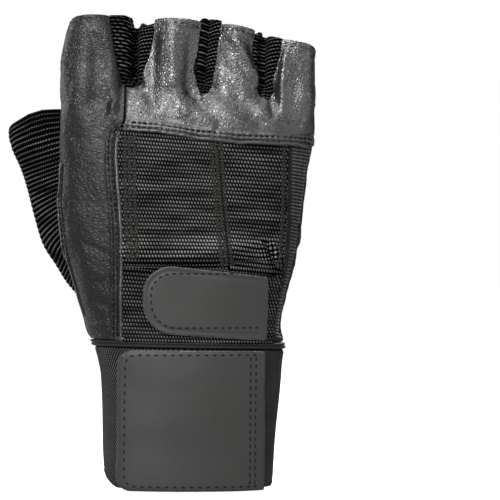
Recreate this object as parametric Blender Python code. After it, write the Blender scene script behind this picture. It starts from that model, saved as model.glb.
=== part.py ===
"""Weightlifting glove: a half-finger leather and knit glove with a wide wrist cuff.

A right-hand glove, filled out as on a hand, upright, with the fingers towards +Z, the back of the hand
towards -Y, the palm towards +Y and the thumb towards -X. The origin is the middle of the wrist opening.

One closed hand form is lofted through the tables of sections and can be made larger or smaller by an
offset. Every panel is the layer between two offsets of that form, inside the outline of the panel.
Lengths in the tables are millimetres. Meshes are in metres.
"""
import math
from collections import namedtuple

import bmesh
import bpy
from mathutils import Vector

MM = 0.001

# Thicknesses and gaps, in millimetres
LEATHER_WALL = 2.0
KNIT_SINK = 0.5
GAP = 0.3
PATCH_THICKNESS = 1.3
PAD_THICKNESS = 3.6
PAD_BACKING = 1.8
PAD_HEM = 1.6
FLAP_THICKNESS = 2.0
HEM_PROUD = 0.9
QUILT_GROOVE = 1.6

# The cuff stands on zero. The wrist hem slopes down towards the little finger side, and its two
# heights are those in the middle of the hand. Panel outlines start below it and are trimmed to it.
CUFF_FOOT = 0.0
HEM_FOOT = 59.3
HEM_TOP = 61.9
HEM_SLOPE = -0.017
PANEL_FOOT = 50.0
FORM_TOP = 230.0

# The seams between the back and the palm run along the edges of the hand at this depth, and the
# patches of the palm start further in
SIDE_SEAM = 1.0
PATCH_START = 6.0

# Past every open end, so that a cavity runs right through it. It turns straight a little below the
# end, because an edge in the plane of the end would leave slivers there.
OPEN_RUN = 8.0
OPEN_TURN = 0.8
FAR = 90.0

BODY_POINTS = 36
FINGER_POINTS = 20
THUMB_POINTS = 20
SQUARENESS = 2.3
CORNER_STEPS = 5

# A section of the form: its height, its edges across and through the hand, its tilt in degrees and
# its slope, which is how much it rises towards the palm for each millimetre
Section = namedtuple("Section", "height left right back palm tilt slope", defaults=(0.0,))

HAND_SECTIONS = [
    Section(height=-3.0, left=-36.1, right=35.7, back=-24.0, palm=24.0, tilt=0),
    Section(height=24.0, left=-36.8, right=37.6, back=-24.4, palm=24.5, tilt=0),
    Section(height=46.0, left=-37.5, right=39.7, back=-24.2, palm=24.8, tilt=0),
    Section(height=54.0, left=-38.9, right=40.3, back=-24.0, palm=24.9, tilt=0),
    Section(height=60.0, left=-40.9, right=41.0, back=-23.6, palm=24.8, tilt=0),
    Section(height=66.0, left=-42.8, right=39.2, back=-23.3, palm=25.0, tilt=0),
    Section(height=78.0, left=-46.4, right=41.0, back=-23.2, palm=26.5, tilt=0),
    Section(height=90.0, left=-49.9, right=43.9, back=-23.0, palm=27.0, tilt=0),
    Section(height=102.0, left=-53.8, right=46.6, back=-22.5, palm=26.5, tilt=0),
    Section(height=115.0, left=-55.6, right=48.4, back=-21.6, palm=24.8, tilt=0),
    Section(height=133.0, left=-55.1, right=50.8, back=-20.0, palm=21.5, tilt=0),
    Section(height=151.0, left=-54.6, right=53.6, back=-17.8, palm=18.6, tilt=0),
    Section(height=161.0, left=-54.2, right=53.9, back=-15.4, palm=16.2, tilt=-2),
    Section(height=167.0, left=-52.5, right=52.4, back=-12.8, palm=13.4, tilt=-4),
    Section(height=171.0, left=-49.5, right=49.5, back=-8.0, palm=9.0, tilt=-4),
]

# Next to each other the stalls overlap by less than the knit between them is sunk. Their open ends
# slope down towards the palm.
INDEX_SECTIONS = [
    Section(height=150.0, left=-52.4, right=-23.4, back=-13.4, palm=13.8, tilt=0),
    Section(height=171.0, left=-54.7, right=-23.7, back=-12.8, palm=13.4, tilt=0),
    Section(height=186.0, left=-53.7, right=-22.7, back=-11.6, palm=12.6, tilt=0),
    Section(height=194.0, left=-52.3, right=-22.8, back=-11.2, palm=12.3, tilt=-1, slope=-0.15),
    Section(height=198.6, left=-50.0, right=-23.6, back=-10.4, palm=11.8, tilt=-2, slope=-0.22),
]
MIDDLE_SECTIONS = [
    Section(height=150.0, left=-25.5, right=8.0, back=-14.2, palm=14.0, tilt=0),
    Section(height=171.0, left=-24.3, right=7.2, back=-13.4, palm=13.4, tilt=0),
    Section(height=186.0, left=-23.3, right=9.2, back=-12.2, palm=12.6, tilt=0),
    Section(height=192.5, left=-22.4, right=9.5, back=-11.7, palm=12.3, tilt=-1, slope=-0.15),
    Section(height=197.0, left=-20.0, right=9.4, back=-11.0, palm=11.8, tilt=-2, slope=-0.22),
]
RING_SECTIONS = [
    Section(height=150.0, left=5.4, right=34.0, back=-13.4, palm=13.8, tilt=0),
    Section(height=171.0, left=6.6, right=33.0, back=-12.4, palm=13.2, tilt=-3),
    Section(height=186.0, left=8.6, right=33.0, back=-11.4, palm=12.6, tilt=-6),
    Section(height=190.2, left=9.2, right=32.8, back=-11.1, palm=12.3, tilt=-9, slope=-0.15),
    Section(height=194.1, left=9.8, right=31.9, back=-10.6, palm=11.8, tilt=-9, slope=-0.22),
]
LITTLE_SECTIONS = [
    Section(height=148.0, left=31.4, right=51.8, back=-11.4, palm=13.0, tilt=0),
    Section(height=167.0, left=32.4, right=54.1, back=-10.6, palm=12.6, tilt=-3),
    Section(height=179.0, left=32.4, right=54.3, back=-9.6, palm=12.0, tilt=-6),
    Section(height=184.6, left=32.5, right=54.4, back=-9.2, palm=11.7, tilt=-8, slope=-0.15),
    Section(height=188.3, left=33.0, right=54.0, back=-8.6, palm=11.2, tilt=-8, slope=-0.22),
]
THUMB_SECTIONS = [
    Section(height=80.0, left=-45.0, right=-29.0, back=-3.0, palm=16.0, tilt=19),
    Section(height=93.0, left=-55.4, right=-30.4, back=-3.0, palm=21.5, tilt=19),
    Section(height=106.0, left=-63.6, right=-34.0, back=-1.0, palm=26.0, tilt=19),
    Section(height=120.0, left=-68.4, right=-38.6, back=3.5, palm=30.5, tilt=19),
    Section(height=134.0, left=-72.0, right=-42.2, back=8.0, palm=33.0, tilt=19),
    Section(height=148.0, left=-76.0, right=-46.2, back=11.0, palm=35.0, tilt=19),
    Section(height=157.4, left=-78.8, right=-49.0, back=12.6, palm=36.0, tilt=19),
]

# A corner of a panel's outline, seen from the back of the hand, and the radius it is rounded to
Corner = namedtuple("Corner", "across height radius")

INDEX_SIDE_OUTLINE = [
    Corner(across=-FAR, height=PANEL_FOOT, radius=0),
    Corner(across=-27.4, height=PANEL_FOOT, radius=0),
    Corner(across=-27.0, height=108.0, radius=0),
    Corner(across=-29.4, height=140.0, radius=0),
    Corner(across=-28.6, height=151.2, radius=0),
    Corner(across=-26.9, height=155.2, radius=0),
    Corner(across=-26.4, height=172.0, radius=0),
    Corner(across=-26.4, height=FORM_TOP, radius=0),
    Corner(across=-FAR, height=FORM_TOP, radius=0),
]
KNUCKLE_OUTLINE = [
    Corner(across=-28.6, height=151.2, radius=2.2),
    Corner(across=-12.0, height=150.2, radius=0),
    Corner(across=6.0, height=147.2, radius=0),
    Corner(across=22.0, height=145.6, radius=0),
    Corner(across=FAR, height=144.6, radius=0),
    Corner(across=FAR, height=FORM_TOP, radius=0),
    Corner(across=-26.4, height=FORM_TOP, radius=0),
    Corner(across=-26.4, height=172.0, radius=0),
    Corner(across=-26.9, height=155.2, radius=0),
]
MESH_LEFT_OUTLINE = [
    Corner(across=-27.1, height=96.5, radius=0),
    Corner(across=17.8, height=92.6, radius=0),
    Corner(across=12.0, height=146.6, radius=0),
    Corner(across=6.0, height=147.2, radius=0),
    Corner(across=-12.0, height=150.2, radius=0),
    Corner(across=-28.6, height=151.2, radius=4.0),
    Corner(across=-29.4, height=140.0, radius=0),
    Corner(across=-27.0, height=108.0, radius=0),
]
MESH_RIGHT_OUTLINE = [
    Corner(across=17.8, height=92.6, radius=0),
    Corner(across=40.2, height=90.5, radius=0),
    Corner(across=41.6, height=110.0, radius=0),
    Corner(across=42.6, height=145.2, radius=0),
    Corner(across=22.0, height=145.6, radius=0),
    Corner(across=12.0, height=146.6, radius=0),
]
MESH_LOWER_OUTLINE = [
    Corner(across=-27.4, height=PANEL_FOOT, radius=0),
    Corner(across=35.6, height=PANEL_FOOT, radius=0),
    Corner(across=36.2, height=72.0, radius=0),
    Corner(across=40.2, height=90.5, radius=0),
    Corner(across=17.8, height=92.6, radius=0),
    Corner(across=-27.1, height=96.5, radius=0),
]
SIDE_STRIP_OUTLINE = [
    Corner(across=35.6, height=PANEL_FOOT, radius=0),
    Corner(across=FAR, height=PANEL_FOOT, radius=0),
    Corner(across=FAR, height=144.6, radius=0),
    Corner(across=42.6, height=145.2, radius=0),
    Corner(across=41.6, height=110.0, radius=0),
    Corner(across=40.2, height=90.5, radius=0),
    Corner(across=36.2, height=72.0, radius=0),
]
PALM_OUTLINE = [
    Corner(across=-FAR, height=PANEL_FOOT, radius=0),
    Corner(across=FAR, height=PANEL_FOOT, radius=0),
    Corner(across=FAR, height=150.4, radius=0),
    Corner(across=13.0, height=151.6, radius=0),
    Corner(across=-31.0, height=155.6, radius=0),
    Corner(across=-FAR, height=155.8, radius=0),
]
FINGER_LEATHER_OUTLINE = [
    Corner(across=-FAR, height=155.8, radius=0),
    Corner(across=-31.0, height=155.6, radius=0),
    Corner(across=13.0, height=151.6, radius=0),
    Corner(across=FAR, height=150.4, radius=0),
    Corner(across=FAR, height=FORM_TOP, radius=0),
    Corner(across=-FAR, height=FORM_TOP, radius=0),
]
PAD_OUTLINE = [
    Corner(across=-6.7, height=93.4, radius=3.0),
    Corner(across=40.0, height=91.6, radius=8.0),
    Corner(across=46.6, height=104.0, radius=6.0),
    Corner(across=49.2, height=149.7, radius=3.0),
    Corner(across=13.0, height=150.8, radius=0),
    Corner(across=-6.7, height=152.6, radius=2.0),
]
OVERLAY_OUTLINE = [
    Corner(across=-13.5, height=93.6, radius=0),
    Corner(across=-7.3, height=93.4, radius=0),
    Corner(across=-7.3, height=152.6, radius=0),
    Corner(across=-31.0, height=154.8, radius=3.0),
    Corner(across=-47.0, height=152.0, radius=4.0),
    Corner(across=-44.0, height=137.0, radius=6.0),
    Corner(across=-14.5, height=126.4, radius=8.0),
    Corner(across=-11.8, height=112.0, radius=6.0),
]
THUMB_PATCH_OUTLINE = [
    Corner(across=-22.5, height=72.0, radius=4.0),
    Corner(across=-17.2, height=92.5, radius=0),
    Corner(across=-13.6, height=112.0, radius=6.0),
    Corner(across=-16.0, height=123.6, radius=6.0),
    Corner(across=-34.0, height=129.6, radius=3.0),
    Corner(across=-36.6, height=118.6, radius=0),
    Corner(across=-30.2, height=108.0, radius=1.5),
    Corner(across=-38.0, height=99.0, radius=3.0),
    Corner(across=-34.0, height=82.0, radius=5.0),
]
STRAP_OUTLINE = [
    Corner(across=-17.6, height=65.9, radius=13.0),
    Corner(across=32.4, height=62.2, radius=0.8),
    Corner(across=33.4, height=89.4, radius=0.8),
    Corner(across=-19.0, height=95.3, radius=11.5),
]
FLAP_OUTLINE = [
    Corner(across=-28.9, height=-1.8, radius=5.5),
    Corner(across=31.2, height=-1.8, radius=0.8),
    Corner(across=31.9, height=58.0, radius=0.8),
    Corner(across=-28.2, height=58.6, radius=5.5),
]

# A row of a knit strip between two fingers: its height and its two edges, seen from the back
StripRow = namedtuple("StripRow", "height left right")

# A knit strip: the height that it is trimmed to, the slope of that edge, and its rows
Fourchette = namedtuple("Fourchette", "name top slope rows")

FOURCHETTES = [
    Fourchette(name="fourchette_index_middle", top=198.8, slope=0.0, rows=[
        StripRow(height=170.0, left=-26.0, right=-22.4),
        StripRow(height=171.8, left=-27.8, right=-20.8),
        StripRow(height=176.0, left=-29.3, right=-19.6),
        StripRow(height=184.0, left=-31.0, right=-17.4),
        StripRow(height=215.0, left=-35.6, right=-11.6),
    ]),
    Fourchette(name="fourchette_middle_ring", top=198.6, slope=-0.04, rows=[
        StripRow(height=167.4, left=5.2, right=8.6),
        StripRow(height=171.6, left=4.2, right=9.8),
        StripRow(height=178.0, left=3.5, right=11.0),
        StripRow(height=186.0, left=4.9, right=12.0),
        StripRow(height=215.0, left=7.6, right=15.6),
    ]),
    Fourchette(name="fourchette_ring_little", top=194.6, slope=-0.07, rows=[
        StripRow(height=166.0, left=31.4, right=34.4),
        StripRow(height=169.0, left=30.2, right=35.4),
        StripRow(height=174.0, left=29.3, right=36.0),
        StripRow(height=182.0, left=28.6, right=38.3),
        StripRow(height=215.0, left=28.8, right=45.0),
    ]),
]

# The two stitched grooves that cross the pad
Groove = namedtuple("Groove", "start_across start_height end_across end_height")

QUILT_GROOVES = [
    Groove(start_across=-3.0, start_height=152.0, end_across=49.0, end_height=94.0),
    Groove(start_across=53.0, start_height=146.5, end_across=-4.5, end_height=95.5),
]

# Colour, roughness and metallic value of each finish
Finish = namedtuple("Finish", "colour roughness metallic")

LEATHER = Finish(colour=(0.022, 0.023, 0.024), roughness=0.42, metallic=0.0)
KNIT = Finish(colour=(0.014, 0.014, 0.014), roughness=0.85, metallic=0.0)
CUFF_ELASTIC = Finish(colour=(0.020, 0.020, 0.019), roughness=0.9, metallic=0.0)
SYNTHETIC = Finish(colour=(0.075, 0.075, 0.072), roughness=0.55, metallic=0.0)


def make_collection(name):
    """A new collection in the scene."""
    collection = bpy.data.collections.new(name)
    bpy.context.scene.collection.children.link(collection)
    return collection


def make_material(name, finish):
    """A Principled material with the given finish."""
    material = bpy.data.materials.new(name)
    material.use_nodes = True
    shader = material.node_tree.nodes["Principled BSDF"]
    shader.inputs["Base Color"].default_value = (*finish.colour, 1.0)
    shader.inputs["Roughness"].default_value = finish.roughness
    shader.inputs["Metallic"].default_value = finish.metallic
    return material


def make_object(name, bm, collection):
    """An object that holds the shape of a bmesh, in triangles, so that later cuts agree on every face."""
    bmesh.ops.triangulate(bm, faces=bm.faces)
    mesh = bpy.data.meshes.new(name)
    bm.to_mesh(mesh)
    bm.free()
    made = bpy.data.objects.new(name, mesh)
    collection.objects.link(made)
    return made


def ring_points(section, offset, count):
    """The points round one section, all of it drawn in by the offset, in metres."""
    centre = Vector(((section.left + section.right) / 2, (section.back + section.palm) / 2, section.height))
    half_width = (section.right - section.left) / 2 - offset
    half_depth = (section.palm - section.back) / 2 - offset
    tilt = math.radians(section.tilt)
    across = Vector((math.cos(tilt), 0, math.sin(tilt)))
    through = Vector((0, 1, section.slope))
    power = 2 / SQUARENESS
    points = []
    for step in range(count):
        angle = 2 * math.pi * (step + 0.5) / count
        side = math.copysign(abs(math.cos(angle)) ** power, math.cos(angle))
        depth = math.copysign(abs(math.sin(angle)) ** power, math.sin(angle))
        points.append((centre + across * half_width * side + through * half_depth * depth) * MM)
    return points


def run_past(section, distance):
    """The same section, moved along the line that it faces."""
    tilt = math.radians(section.tilt)
    shift = -math.sin(tilt) * distance
    return section._replace(
        height=section.height + math.cos(tilt) * distance,
        left=section.left + shift,
        right=section.right + shift,
    )


def run_through(sections):
    """The sections of a stall with the last one moved, so that the form runs out past the open end."""
    end = sections[-1]
    return sections[:-1] + [run_past(end, -OPEN_TURN), run_past(end, OPEN_RUN)]


def loft(name, sections, offset, count, collection):
    """A closed form through the sections, drawn in by the offset."""
    bm = bmesh.new()
    rings = []
    for section in sections:
        rings.append([bm.verts.new(point) for point in ring_points(section, offset, count)])
    for lower, upper in zip(rings, rings[1:]):
        for step in range(count):
            after = (step + 1) % count
            bm.faces.new((lower[step], lower[after], upper[after], upper[step]))
    bm.faces.new(reversed(rings[0]))
    bm.faces.new(rings[-1])
    bmesh.ops.recalc_face_normals(bm, faces=bm.faces)
    return make_object(name, bm, collection)


def apply_modifiers(target):
    """Keep the shape that the modifiers give, in triangles, and drop the modifiers."""
    depsgraph = bpy.context.evaluated_depsgraph_get()
    mesh = bpy.data.meshes.new_from_object(target.evaluated_get(depsgraph))
    target.modifiers.clear()
    target.data = mesh
    bm = bmesh.new()
    bm.from_mesh(mesh)
    bmesh.ops.triangulate(bm, faces=bm.faces)
    bm.to_mesh(mesh)
    bm.free()


def combine(target, other, operation, keep_other=False):
    """Join, cut or intersect the target with another object.

    The thin walls of the shells make the exact solver leave open edges, so it is the manifold one.
    """
    modifier = target.modifiers.new(operation.lower(), "BOOLEAN")
    modifier.operation = operation
    modifier.solver = "MANIFOLD"
    modifier.object = other
    apply_modifiers(target)
    if not keep_other:
        bpy.data.objects.remove(other)


def copy_of(source, name, collection):
    """A copy of an object with its own mesh."""
    made = source.copy()
    made.data = source.data.copy()
    made.name = name
    collection.objects.link(made)
    return made


def palm_form(offset, opened, collection):
    """The hand and its four finger stalls as one closed form."""
    sections = list(HAND_SECTIONS)
    sections[-1] = run_past(sections[-1], -offset)
    if opened:
        sections.insert(0, run_past(sections[0], -OPEN_RUN))
    form = loft("form", sections, offset, BODY_POINTS, collection)
    for rows in (INDEX_SECTIONS, MIDDLE_SECTIONS, RING_SECTIONS, LITTLE_SECTIONS):
        finger = loft("finger", run_through(rows) if opened else rows, offset, FINGER_POINTS, collection)
        combine(form, finger, "UNION")
    return form


def thumb_form(offset, opened, collection):
    """The thumb stall as one closed form."""
    sections = run_through(THUMB_SECTIONS) if opened else THUMB_SECTIONS
    return loft("thumb", sections, offset, THUMB_POINTS, collection)


def rounded_outline(corners):
    """The points of an outline, in millimetres, with its rounded corners as arcs."""
    points = []
    count = len(corners)
    for index, corner in enumerate(corners):
        here = Vector((corner.across, corner.height))
        if corner.radius == 0:
            points.append(here)
            continue
        before = corners[index - 1]
        after = corners[(index + 1) % count]
        back = (Vector((before.across, before.height)) - here).normalized()
        ahead = (Vector((after.across, after.height)) - here).normalized()
        half_angle = math.acos(max(-1.0, min(1.0, back.dot(ahead)))) / 2
        reach = corner.radius / math.tan(half_angle)
        start = here + back * reach
        end = here + ahead * reach
        centre = here + (back + ahead).normalized() * (corner.radius / math.sin(half_angle))
        for step in range(CORNER_STEPS + 1):
            arm = (start - centre).lerp(end - centre, step / CORNER_STEPS)
            points.append(centre + arm.normalized() * corner.radius)
    return points


def drawn_in(points, distance):
    """An outline drawn in by a distance, each corner mitred."""
    area = 0.0
    for here, after in zip(points, points[1:] + points[:1]):
        area += here.x * after.y - after.x * here.y
    turn = 1.0 if area > 0 else -1.0
    moved = []
    for index, here in enumerate(points):
        back = (here - points[index - 1]).normalized()
        ahead = (points[(index + 1) % len(points)] - here).normalized()
        back_normal = Vector((-back.y, back.x)) * turn
        ahead_normal = Vector((-ahead.y, ahead.x)) * turn
        mitre = (back_normal + ahead_normal).normalized()
        moved.append(here + mitre * distance / max(mitre.dot(back_normal), 0.3))
    return moved


def prism(name, points, front, rear, collection):
    """A solid of the outline, from one depth to another."""
    bm = bmesh.new()
    verts = [bm.verts.new((point.x * MM, front * MM, point.y * MM)) for point in points]
    face = bm.faces.new(verts)
    grown = bmesh.ops.extrude_face_region(bm, geom=[face])
    moved = [item for item in grown["geom"] if isinstance(item, bmesh.types.BMVert)]
    bmesh.ops.translate(bm, verts=moved, vec=(0, (rear - front) * MM, 0))
    bmesh.ops.recalc_face_normals(bm, faces=bm.faces)
    return make_object(name, bm, collection)


def strip_outline(rows):
    """The outline of a knit strip, up its right edge and down its left."""
    right_side = [Vector((row.right, row.height)) for row in rows]
    left_side = [Vector((row.left, row.height)) for row in reversed(rows)]
    return right_side + left_side


def slab(low, high, low_slope, high_slope, collection):
    """A wide block between two heights, each of which may slope across the hand."""
    points = [
        Vector((-FAR, low - low_slope * FAR)),
        Vector((FAR, low + low_slope * FAR)),
        Vector((FAR, high + high_slope * FAR)),
        Vector((-FAR, high - high_slope * FAR)),
    ]
    return prism("slab", points, -FAR, FAR, collection)


def cut_panel(name, shell, points, front, rear, collection):
    """The stretch of a shell inside an outline, drawn in by half a gap all round."""
    panel = copy_of(shell, name, collection)
    region = prism("region", drawn_in(points, GAP / 2), front, rear, collection)
    combine(panel, region, "INTERSECT")
    return panel


def laid_on(name, points, front, rear, low, high, collection):
    """A layer inside an outline that follows the hand form, between two distances from it."""
    layer = palm_form(-high, False, collection)
    layer.name = name
    region = prism("region", points, front, rear, collection)
    combine(layer, region, "INTERSECT")
    combine(layer, palm_form(-low, False, collection), "DIFFERENCE")
    return layer


def groove_outline(groove):
    """The outline of the narrow strip that a stitched groove takes out of the padding."""
    start = Vector((groove.start_across, groove.start_height))
    end = Vector((groove.end_across, groove.end_height))
    along = (end - start).normalized()
    side = Vector((-along.y, along.x)) * QUILT_GROOVE / 2
    return [start - side, end - side, end + side, start + side]


def quilted_pad(name, points, collection):
    """A padded panel: a thin backing with pillows on it, parted by the stitched grooves."""
    pad = laid_on(name, points, PATCH_START, FAR, GAP, GAP + PAD_BACKING, collection)
    inner_points = drawn_in(points, PAD_HEM)
    start = PATCH_START + PAD_HEM
    pillows = laid_on("pillows", inner_points, start, FAR, GAP + PAD_BACKING / 2, GAP + PAD_THICKNESS, collection)
    for groove in QUILT_GROOVES:
        combine(pillows, prism("groove", groove_outline(groove), 0, FAR, collection), "DIFFERENCE")
    combine(pad, pillows, "UNION")
    return pad


def finish_piece(piece, material, collection, holder):
    """Give a piece its material, its collection and its smooth shading."""
    for owner in list(piece.users_collection):
        owner.objects.unlink(piece)
    collection.objects.link(piece)
    piece.data.materials.clear()
    piece.data.materials.append(material)
    piece.data.shade_smooth()
    piece.data.set_sharp_from_angle(angle=math.radians(40))
    piece.parent = holder


def build():
    """Make every piece of the glove."""
    for leftover in list(bpy.data.objects):
        bpy.data.objects.remove(leftover)

    glove = make_collection("weightlifting_glove")
    workshop = make_collection("workshop")
    holder = bpy.data.objects.new("wrist_opening", None)
    glove.objects.link(holder)

    cavity = palm_form(LEATHER_WALL, True, workshop)
    combine(cavity, thumb_form(LEATHER_WALL, True, workshop), "UNION")

    leather_shell = palm_form(0.0, False, workshop)
    combine(leather_shell, cavity, "DIFFERENCE", keep_other=True)
    knit_shell = palm_form(KNIT_SINK, False, workshop)
    combine(knit_shell, cavity, "DIFFERENCE", keep_other=True)

    pieces = {}
    cuff = copy_of(leather_shell, "cuff_band", workshop)
    combine(cuff, slab(CUFF_FOOT, HEM_FOOT - GAP, 0.0, HEM_SLOPE, workshop), "INTERSECT")
    pieces["cuff_band"] = cuff
    for shell in (leather_shell, knit_shell):
        combine(shell, slab(HEM_TOP + GAP, FORM_TOP, HEM_SLOPE, 0.0, workshop), "INTERSECT")

    for strip in FOURCHETTES:
        points = strip_outline(strip.rows)
        knit = cut_panel(strip.name, knit_shell, points, -FAR, FAR, workshop)
        combine(knit, slab(HEM_TOP, strip.top, HEM_SLOPE, strip.slope, workshop), "INTERSECT")
        pieces[strip.name] = knit
        region = prism("region", drawn_in(points, -GAP / 2), -FAR, FAR, workshop)
        combine(leather_shell, region, "DIFFERENCE")

    back_leather = {"index_side_panel": INDEX_SIDE_OUTLINE, "knuckle_panel": KNUCKLE_OUTLINE}
    for name, corners in back_leather.items():
        points = rounded_outline(corners)
        pieces[name] = cut_panel(name, leather_shell, points, -FAR, SIDE_SEAM - GAP / 2, workshop)
    palm_side = {"palm_leather": PALM_OUTLINE, "finger_leather": FINGER_LEATHER_OUTLINE}
    for name, corners in palm_side.items():
        points = rounded_outline(corners)
        pieces[name] = cut_panel(name, leather_shell, points, SIDE_SEAM + GAP / 2, FAR, workshop)

    back_knit = {
        "back_mesh_left": MESH_LEFT_OUTLINE,
        "back_mesh_right": MESH_RIGHT_OUTLINE,
        "back_mesh_lower": MESH_LOWER_OUTLINE,
        "side_strip": SIDE_STRIP_OUTLINE,
    }
    for name, corners in back_knit.items():
        points = rounded_outline(corners)
        pieces[name] = cut_panel(name, knit_shell, points, -FAR, SIDE_SEAM - GAP / 2, workshop)

    thumb = thumb_form(0.0, False, workshop)
    combine(thumb, cavity, "DIFFERENCE", keep_other=True)
    combine(thumb, palm_form(-GAP, False, workshop), "DIFFERENCE")
    pieces["thumb_stall"] = thumb

    hem = palm_form(-HEM_PROUD, False, workshop)
    combine(hem, slab(HEM_FOOT, HEM_TOP, HEM_SLOPE, HEM_SLOPE, workshop), "INTERSECT")
    combine(hem, cavity, "DIFFERENCE", keep_other=True)
    pieces["wrist_hem"] = hem

    pieces["palm_pad"] = quilted_pad("palm_pad", rounded_outline(PAD_OUTLINE), workshop)
    for name, corners in {"palm_overlay": OVERLAY_OUTLINE, "thumb_patch": THUMB_PATCH_OUTLINE}.items():
        patch = laid_on(name, rounded_outline(corners), PATCH_START, FAR, GAP, GAP + PATCH_THICKNESS, workshop)
        combine(patch, thumb_form(-GAP, False, workshop), "DIFFERENCE")
        pieces[name] = patch
    for name, corners in {"strap_tab": STRAP_OUTLINE, "cuff_flap": FLAP_OUTLINE}.items():
        pieces[name] = laid_on(name, rounded_outline(corners), -FAR, 0, GAP, GAP + FLAP_THICKNESS, workshop)

    finishes = {
        "leather": (LEATHER, (
            "index_side_panel", "knuckle_panel", "palm_leather", "finger_leather",
            "palm_overlay", "palm_pad", "thumb_patch",
        )),
        "knit": (KNIT, (
            "fourchette_index_middle", "fourchette_middle_ring", "fourchette_ring_little",
            "back_mesh_left", "back_mesh_right", "back_mesh_lower", "side_strip", "thumb_stall",
        )),
        "elastic": (CUFF_ELASTIC, ("cuff_band", "wrist_hem")),
        "synthetic": (SYNTHETIC, ("cuff_flap", "strap_tab")),
    }
    for finish, names in finishes.values():
        for name in names:
            pieces[name].name = name
            finish_piece(pieces[name], make_material(name, finish), glove, holder)

    for helper in (cavity, leather_shell, knit_shell):
        bpy.data.objects.remove(helper)
    bpy.data.collections.remove(workshop)


build()
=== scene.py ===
import math

import bmesh
import bpy
import numpy as np
from mathutils import Matrix, Vector, noise
from mathutils.bvhtree import BVHTree
from mathutils.kdtree import KDTree


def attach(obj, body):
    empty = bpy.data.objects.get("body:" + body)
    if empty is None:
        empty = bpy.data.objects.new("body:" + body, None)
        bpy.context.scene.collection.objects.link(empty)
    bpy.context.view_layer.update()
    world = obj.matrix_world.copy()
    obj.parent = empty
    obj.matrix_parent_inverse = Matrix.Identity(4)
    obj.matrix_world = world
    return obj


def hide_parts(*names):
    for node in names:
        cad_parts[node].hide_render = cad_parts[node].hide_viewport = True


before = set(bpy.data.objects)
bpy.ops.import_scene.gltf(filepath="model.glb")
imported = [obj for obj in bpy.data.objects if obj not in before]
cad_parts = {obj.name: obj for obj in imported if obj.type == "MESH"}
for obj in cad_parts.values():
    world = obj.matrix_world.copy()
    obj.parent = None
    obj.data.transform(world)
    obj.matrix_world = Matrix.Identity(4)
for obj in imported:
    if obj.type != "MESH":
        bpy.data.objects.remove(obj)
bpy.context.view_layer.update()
print("frame loaded")

mm = 0.001
back, palm = -1, 1    # the two sides of the hand, along Y
beyond = 90.0         # past every side of the glove, in millimetres

# The hand form in millimetres: height, left, right, back, palm, tilt and slope, as in the CAD source
handForm = {
    "squareness": 2.3,
    "voxel": 0.8, "smoothing": 6,
    "handGrid": (128, 90), "stallGrid": (72, 40), "thumbGrid": (96, 60),    # faces round and along each tube
    "hand": [
        (-3.0, -36.1, 35.7, -24.0, 24.0, 0, 0), (24.0, -36.8, 37.6, -24.4, 24.5, 0, 0),
        (46.0, -37.5, 39.7, -24.2, 24.8, 0, 0), (54.0, -38.9, 40.3, -24.0, 24.9, 0, 0),
        (60.0, -40.9, 41.0, -23.6, 24.8, 0, 0), (66.0, -42.8, 39.2, -23.3, 25.0, 0, 0),
        (78.0, -46.4, 41.0, -23.2, 26.5, 0, 0), (90.0, -49.9, 43.9, -23.0, 27.0, 0, 0),
        (102.0, -53.8, 46.6, -22.5, 26.5, 0, 0), (115.0, -55.6, 48.4, -21.6, 24.8, 0, 0),
        (133.0, -55.1, 50.8, -20.0, 21.5, 0, 0), (151.0, -54.6, 53.6, -17.8, 18.6, 0, 0),
        (161.0, -54.2, 53.9, -15.4, 16.2, -2, 0), (167.0, -52.5, 52.4, -12.8, 13.4, -4, 0),
        (171.0, -49.5, 49.5, -8.0, 9.0, -4, 0),
    ],
    "index": [
        (150.0, -52.4, -23.4, -13.4, 13.8, 0, 0), (171.0, -54.7, -23.7, -12.8, 13.4, 0, 0),
        (186.0, -53.7, -22.7, -11.6, 12.6, 0, 0), (194.0, -52.3, -22.8, -11.2, 12.3, -1, -0.15),
        (198.6, -50.0, -23.6, -10.4, 11.8, -2, -0.22),
    ],
    "middle": [
        (150.0, -25.5, 8.0, -14.2, 14.0, 0, 0), (171.0, -24.3, 7.2, -13.4, 13.4, 0, 0),
        (186.0, -23.3, 9.2, -12.2, 12.6, 0, 0), (192.5, -22.4, 9.5, -11.7, 12.3, -1, -0.15),
        (197.0, -20.0, 9.4, -11.0, 11.8, -2, -0.22),
    ],
    "ring": [
        (150.0, 5.4, 34.0, -13.4, 13.8, 0, 0), (171.0, 6.6, 33.0, -12.4, 13.2, -3, 0),
        (186.0, 8.6, 33.0, -11.4, 12.6, -6, 0), (190.2, 9.2, 32.8, -11.1, 12.3, -9, -0.15),
        (194.1, 9.8, 31.9, -10.6, 11.8, -9, -0.22),
    ],
    "little": [
        (148.0, 31.4, 51.8, -11.4, 13.0, 0, 0), (167.0, 32.4, 54.1, -10.6, 12.6, -3, 0),
        (179.0, 32.4, 54.3, -9.6, 12.0, -6, 0), (184.6, 32.5, 54.4, -9.2, 11.7, -8, -0.15),
        (188.3, 33.0, 54.0, -8.6, 11.2, -8, -0.22),
    ],
    "thumb": [
        (80.0, -45.0, -29.0, -3.0, 16.0, 19, 0), (93.0, -55.4, -30.4, -3.0, 21.5, 19, 0),
        (106.0, -63.6, -34.0, -1.0, 26.0, 19, 0), (120.0, -68.4, -38.6, 3.5, 30.5, 19, 0),
        (134.0, -72.0, -42.2, 8.0, 33.0, 19, 0), (148.0, -76.0, -46.2, 11.0, 35.0, 19, 0),
        (157.4, -78.8, -49.0, 12.6, 36.0, 19, 0),
    ],
    "fingerSplits": (-23.3, 8.4, 32.6),    # where one stall gives way to the next, across the hand
    "openRun": 8.0,
    "sideSeam": 1.0,
}
fingers = ("index", "middle", "ring", "little")


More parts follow.
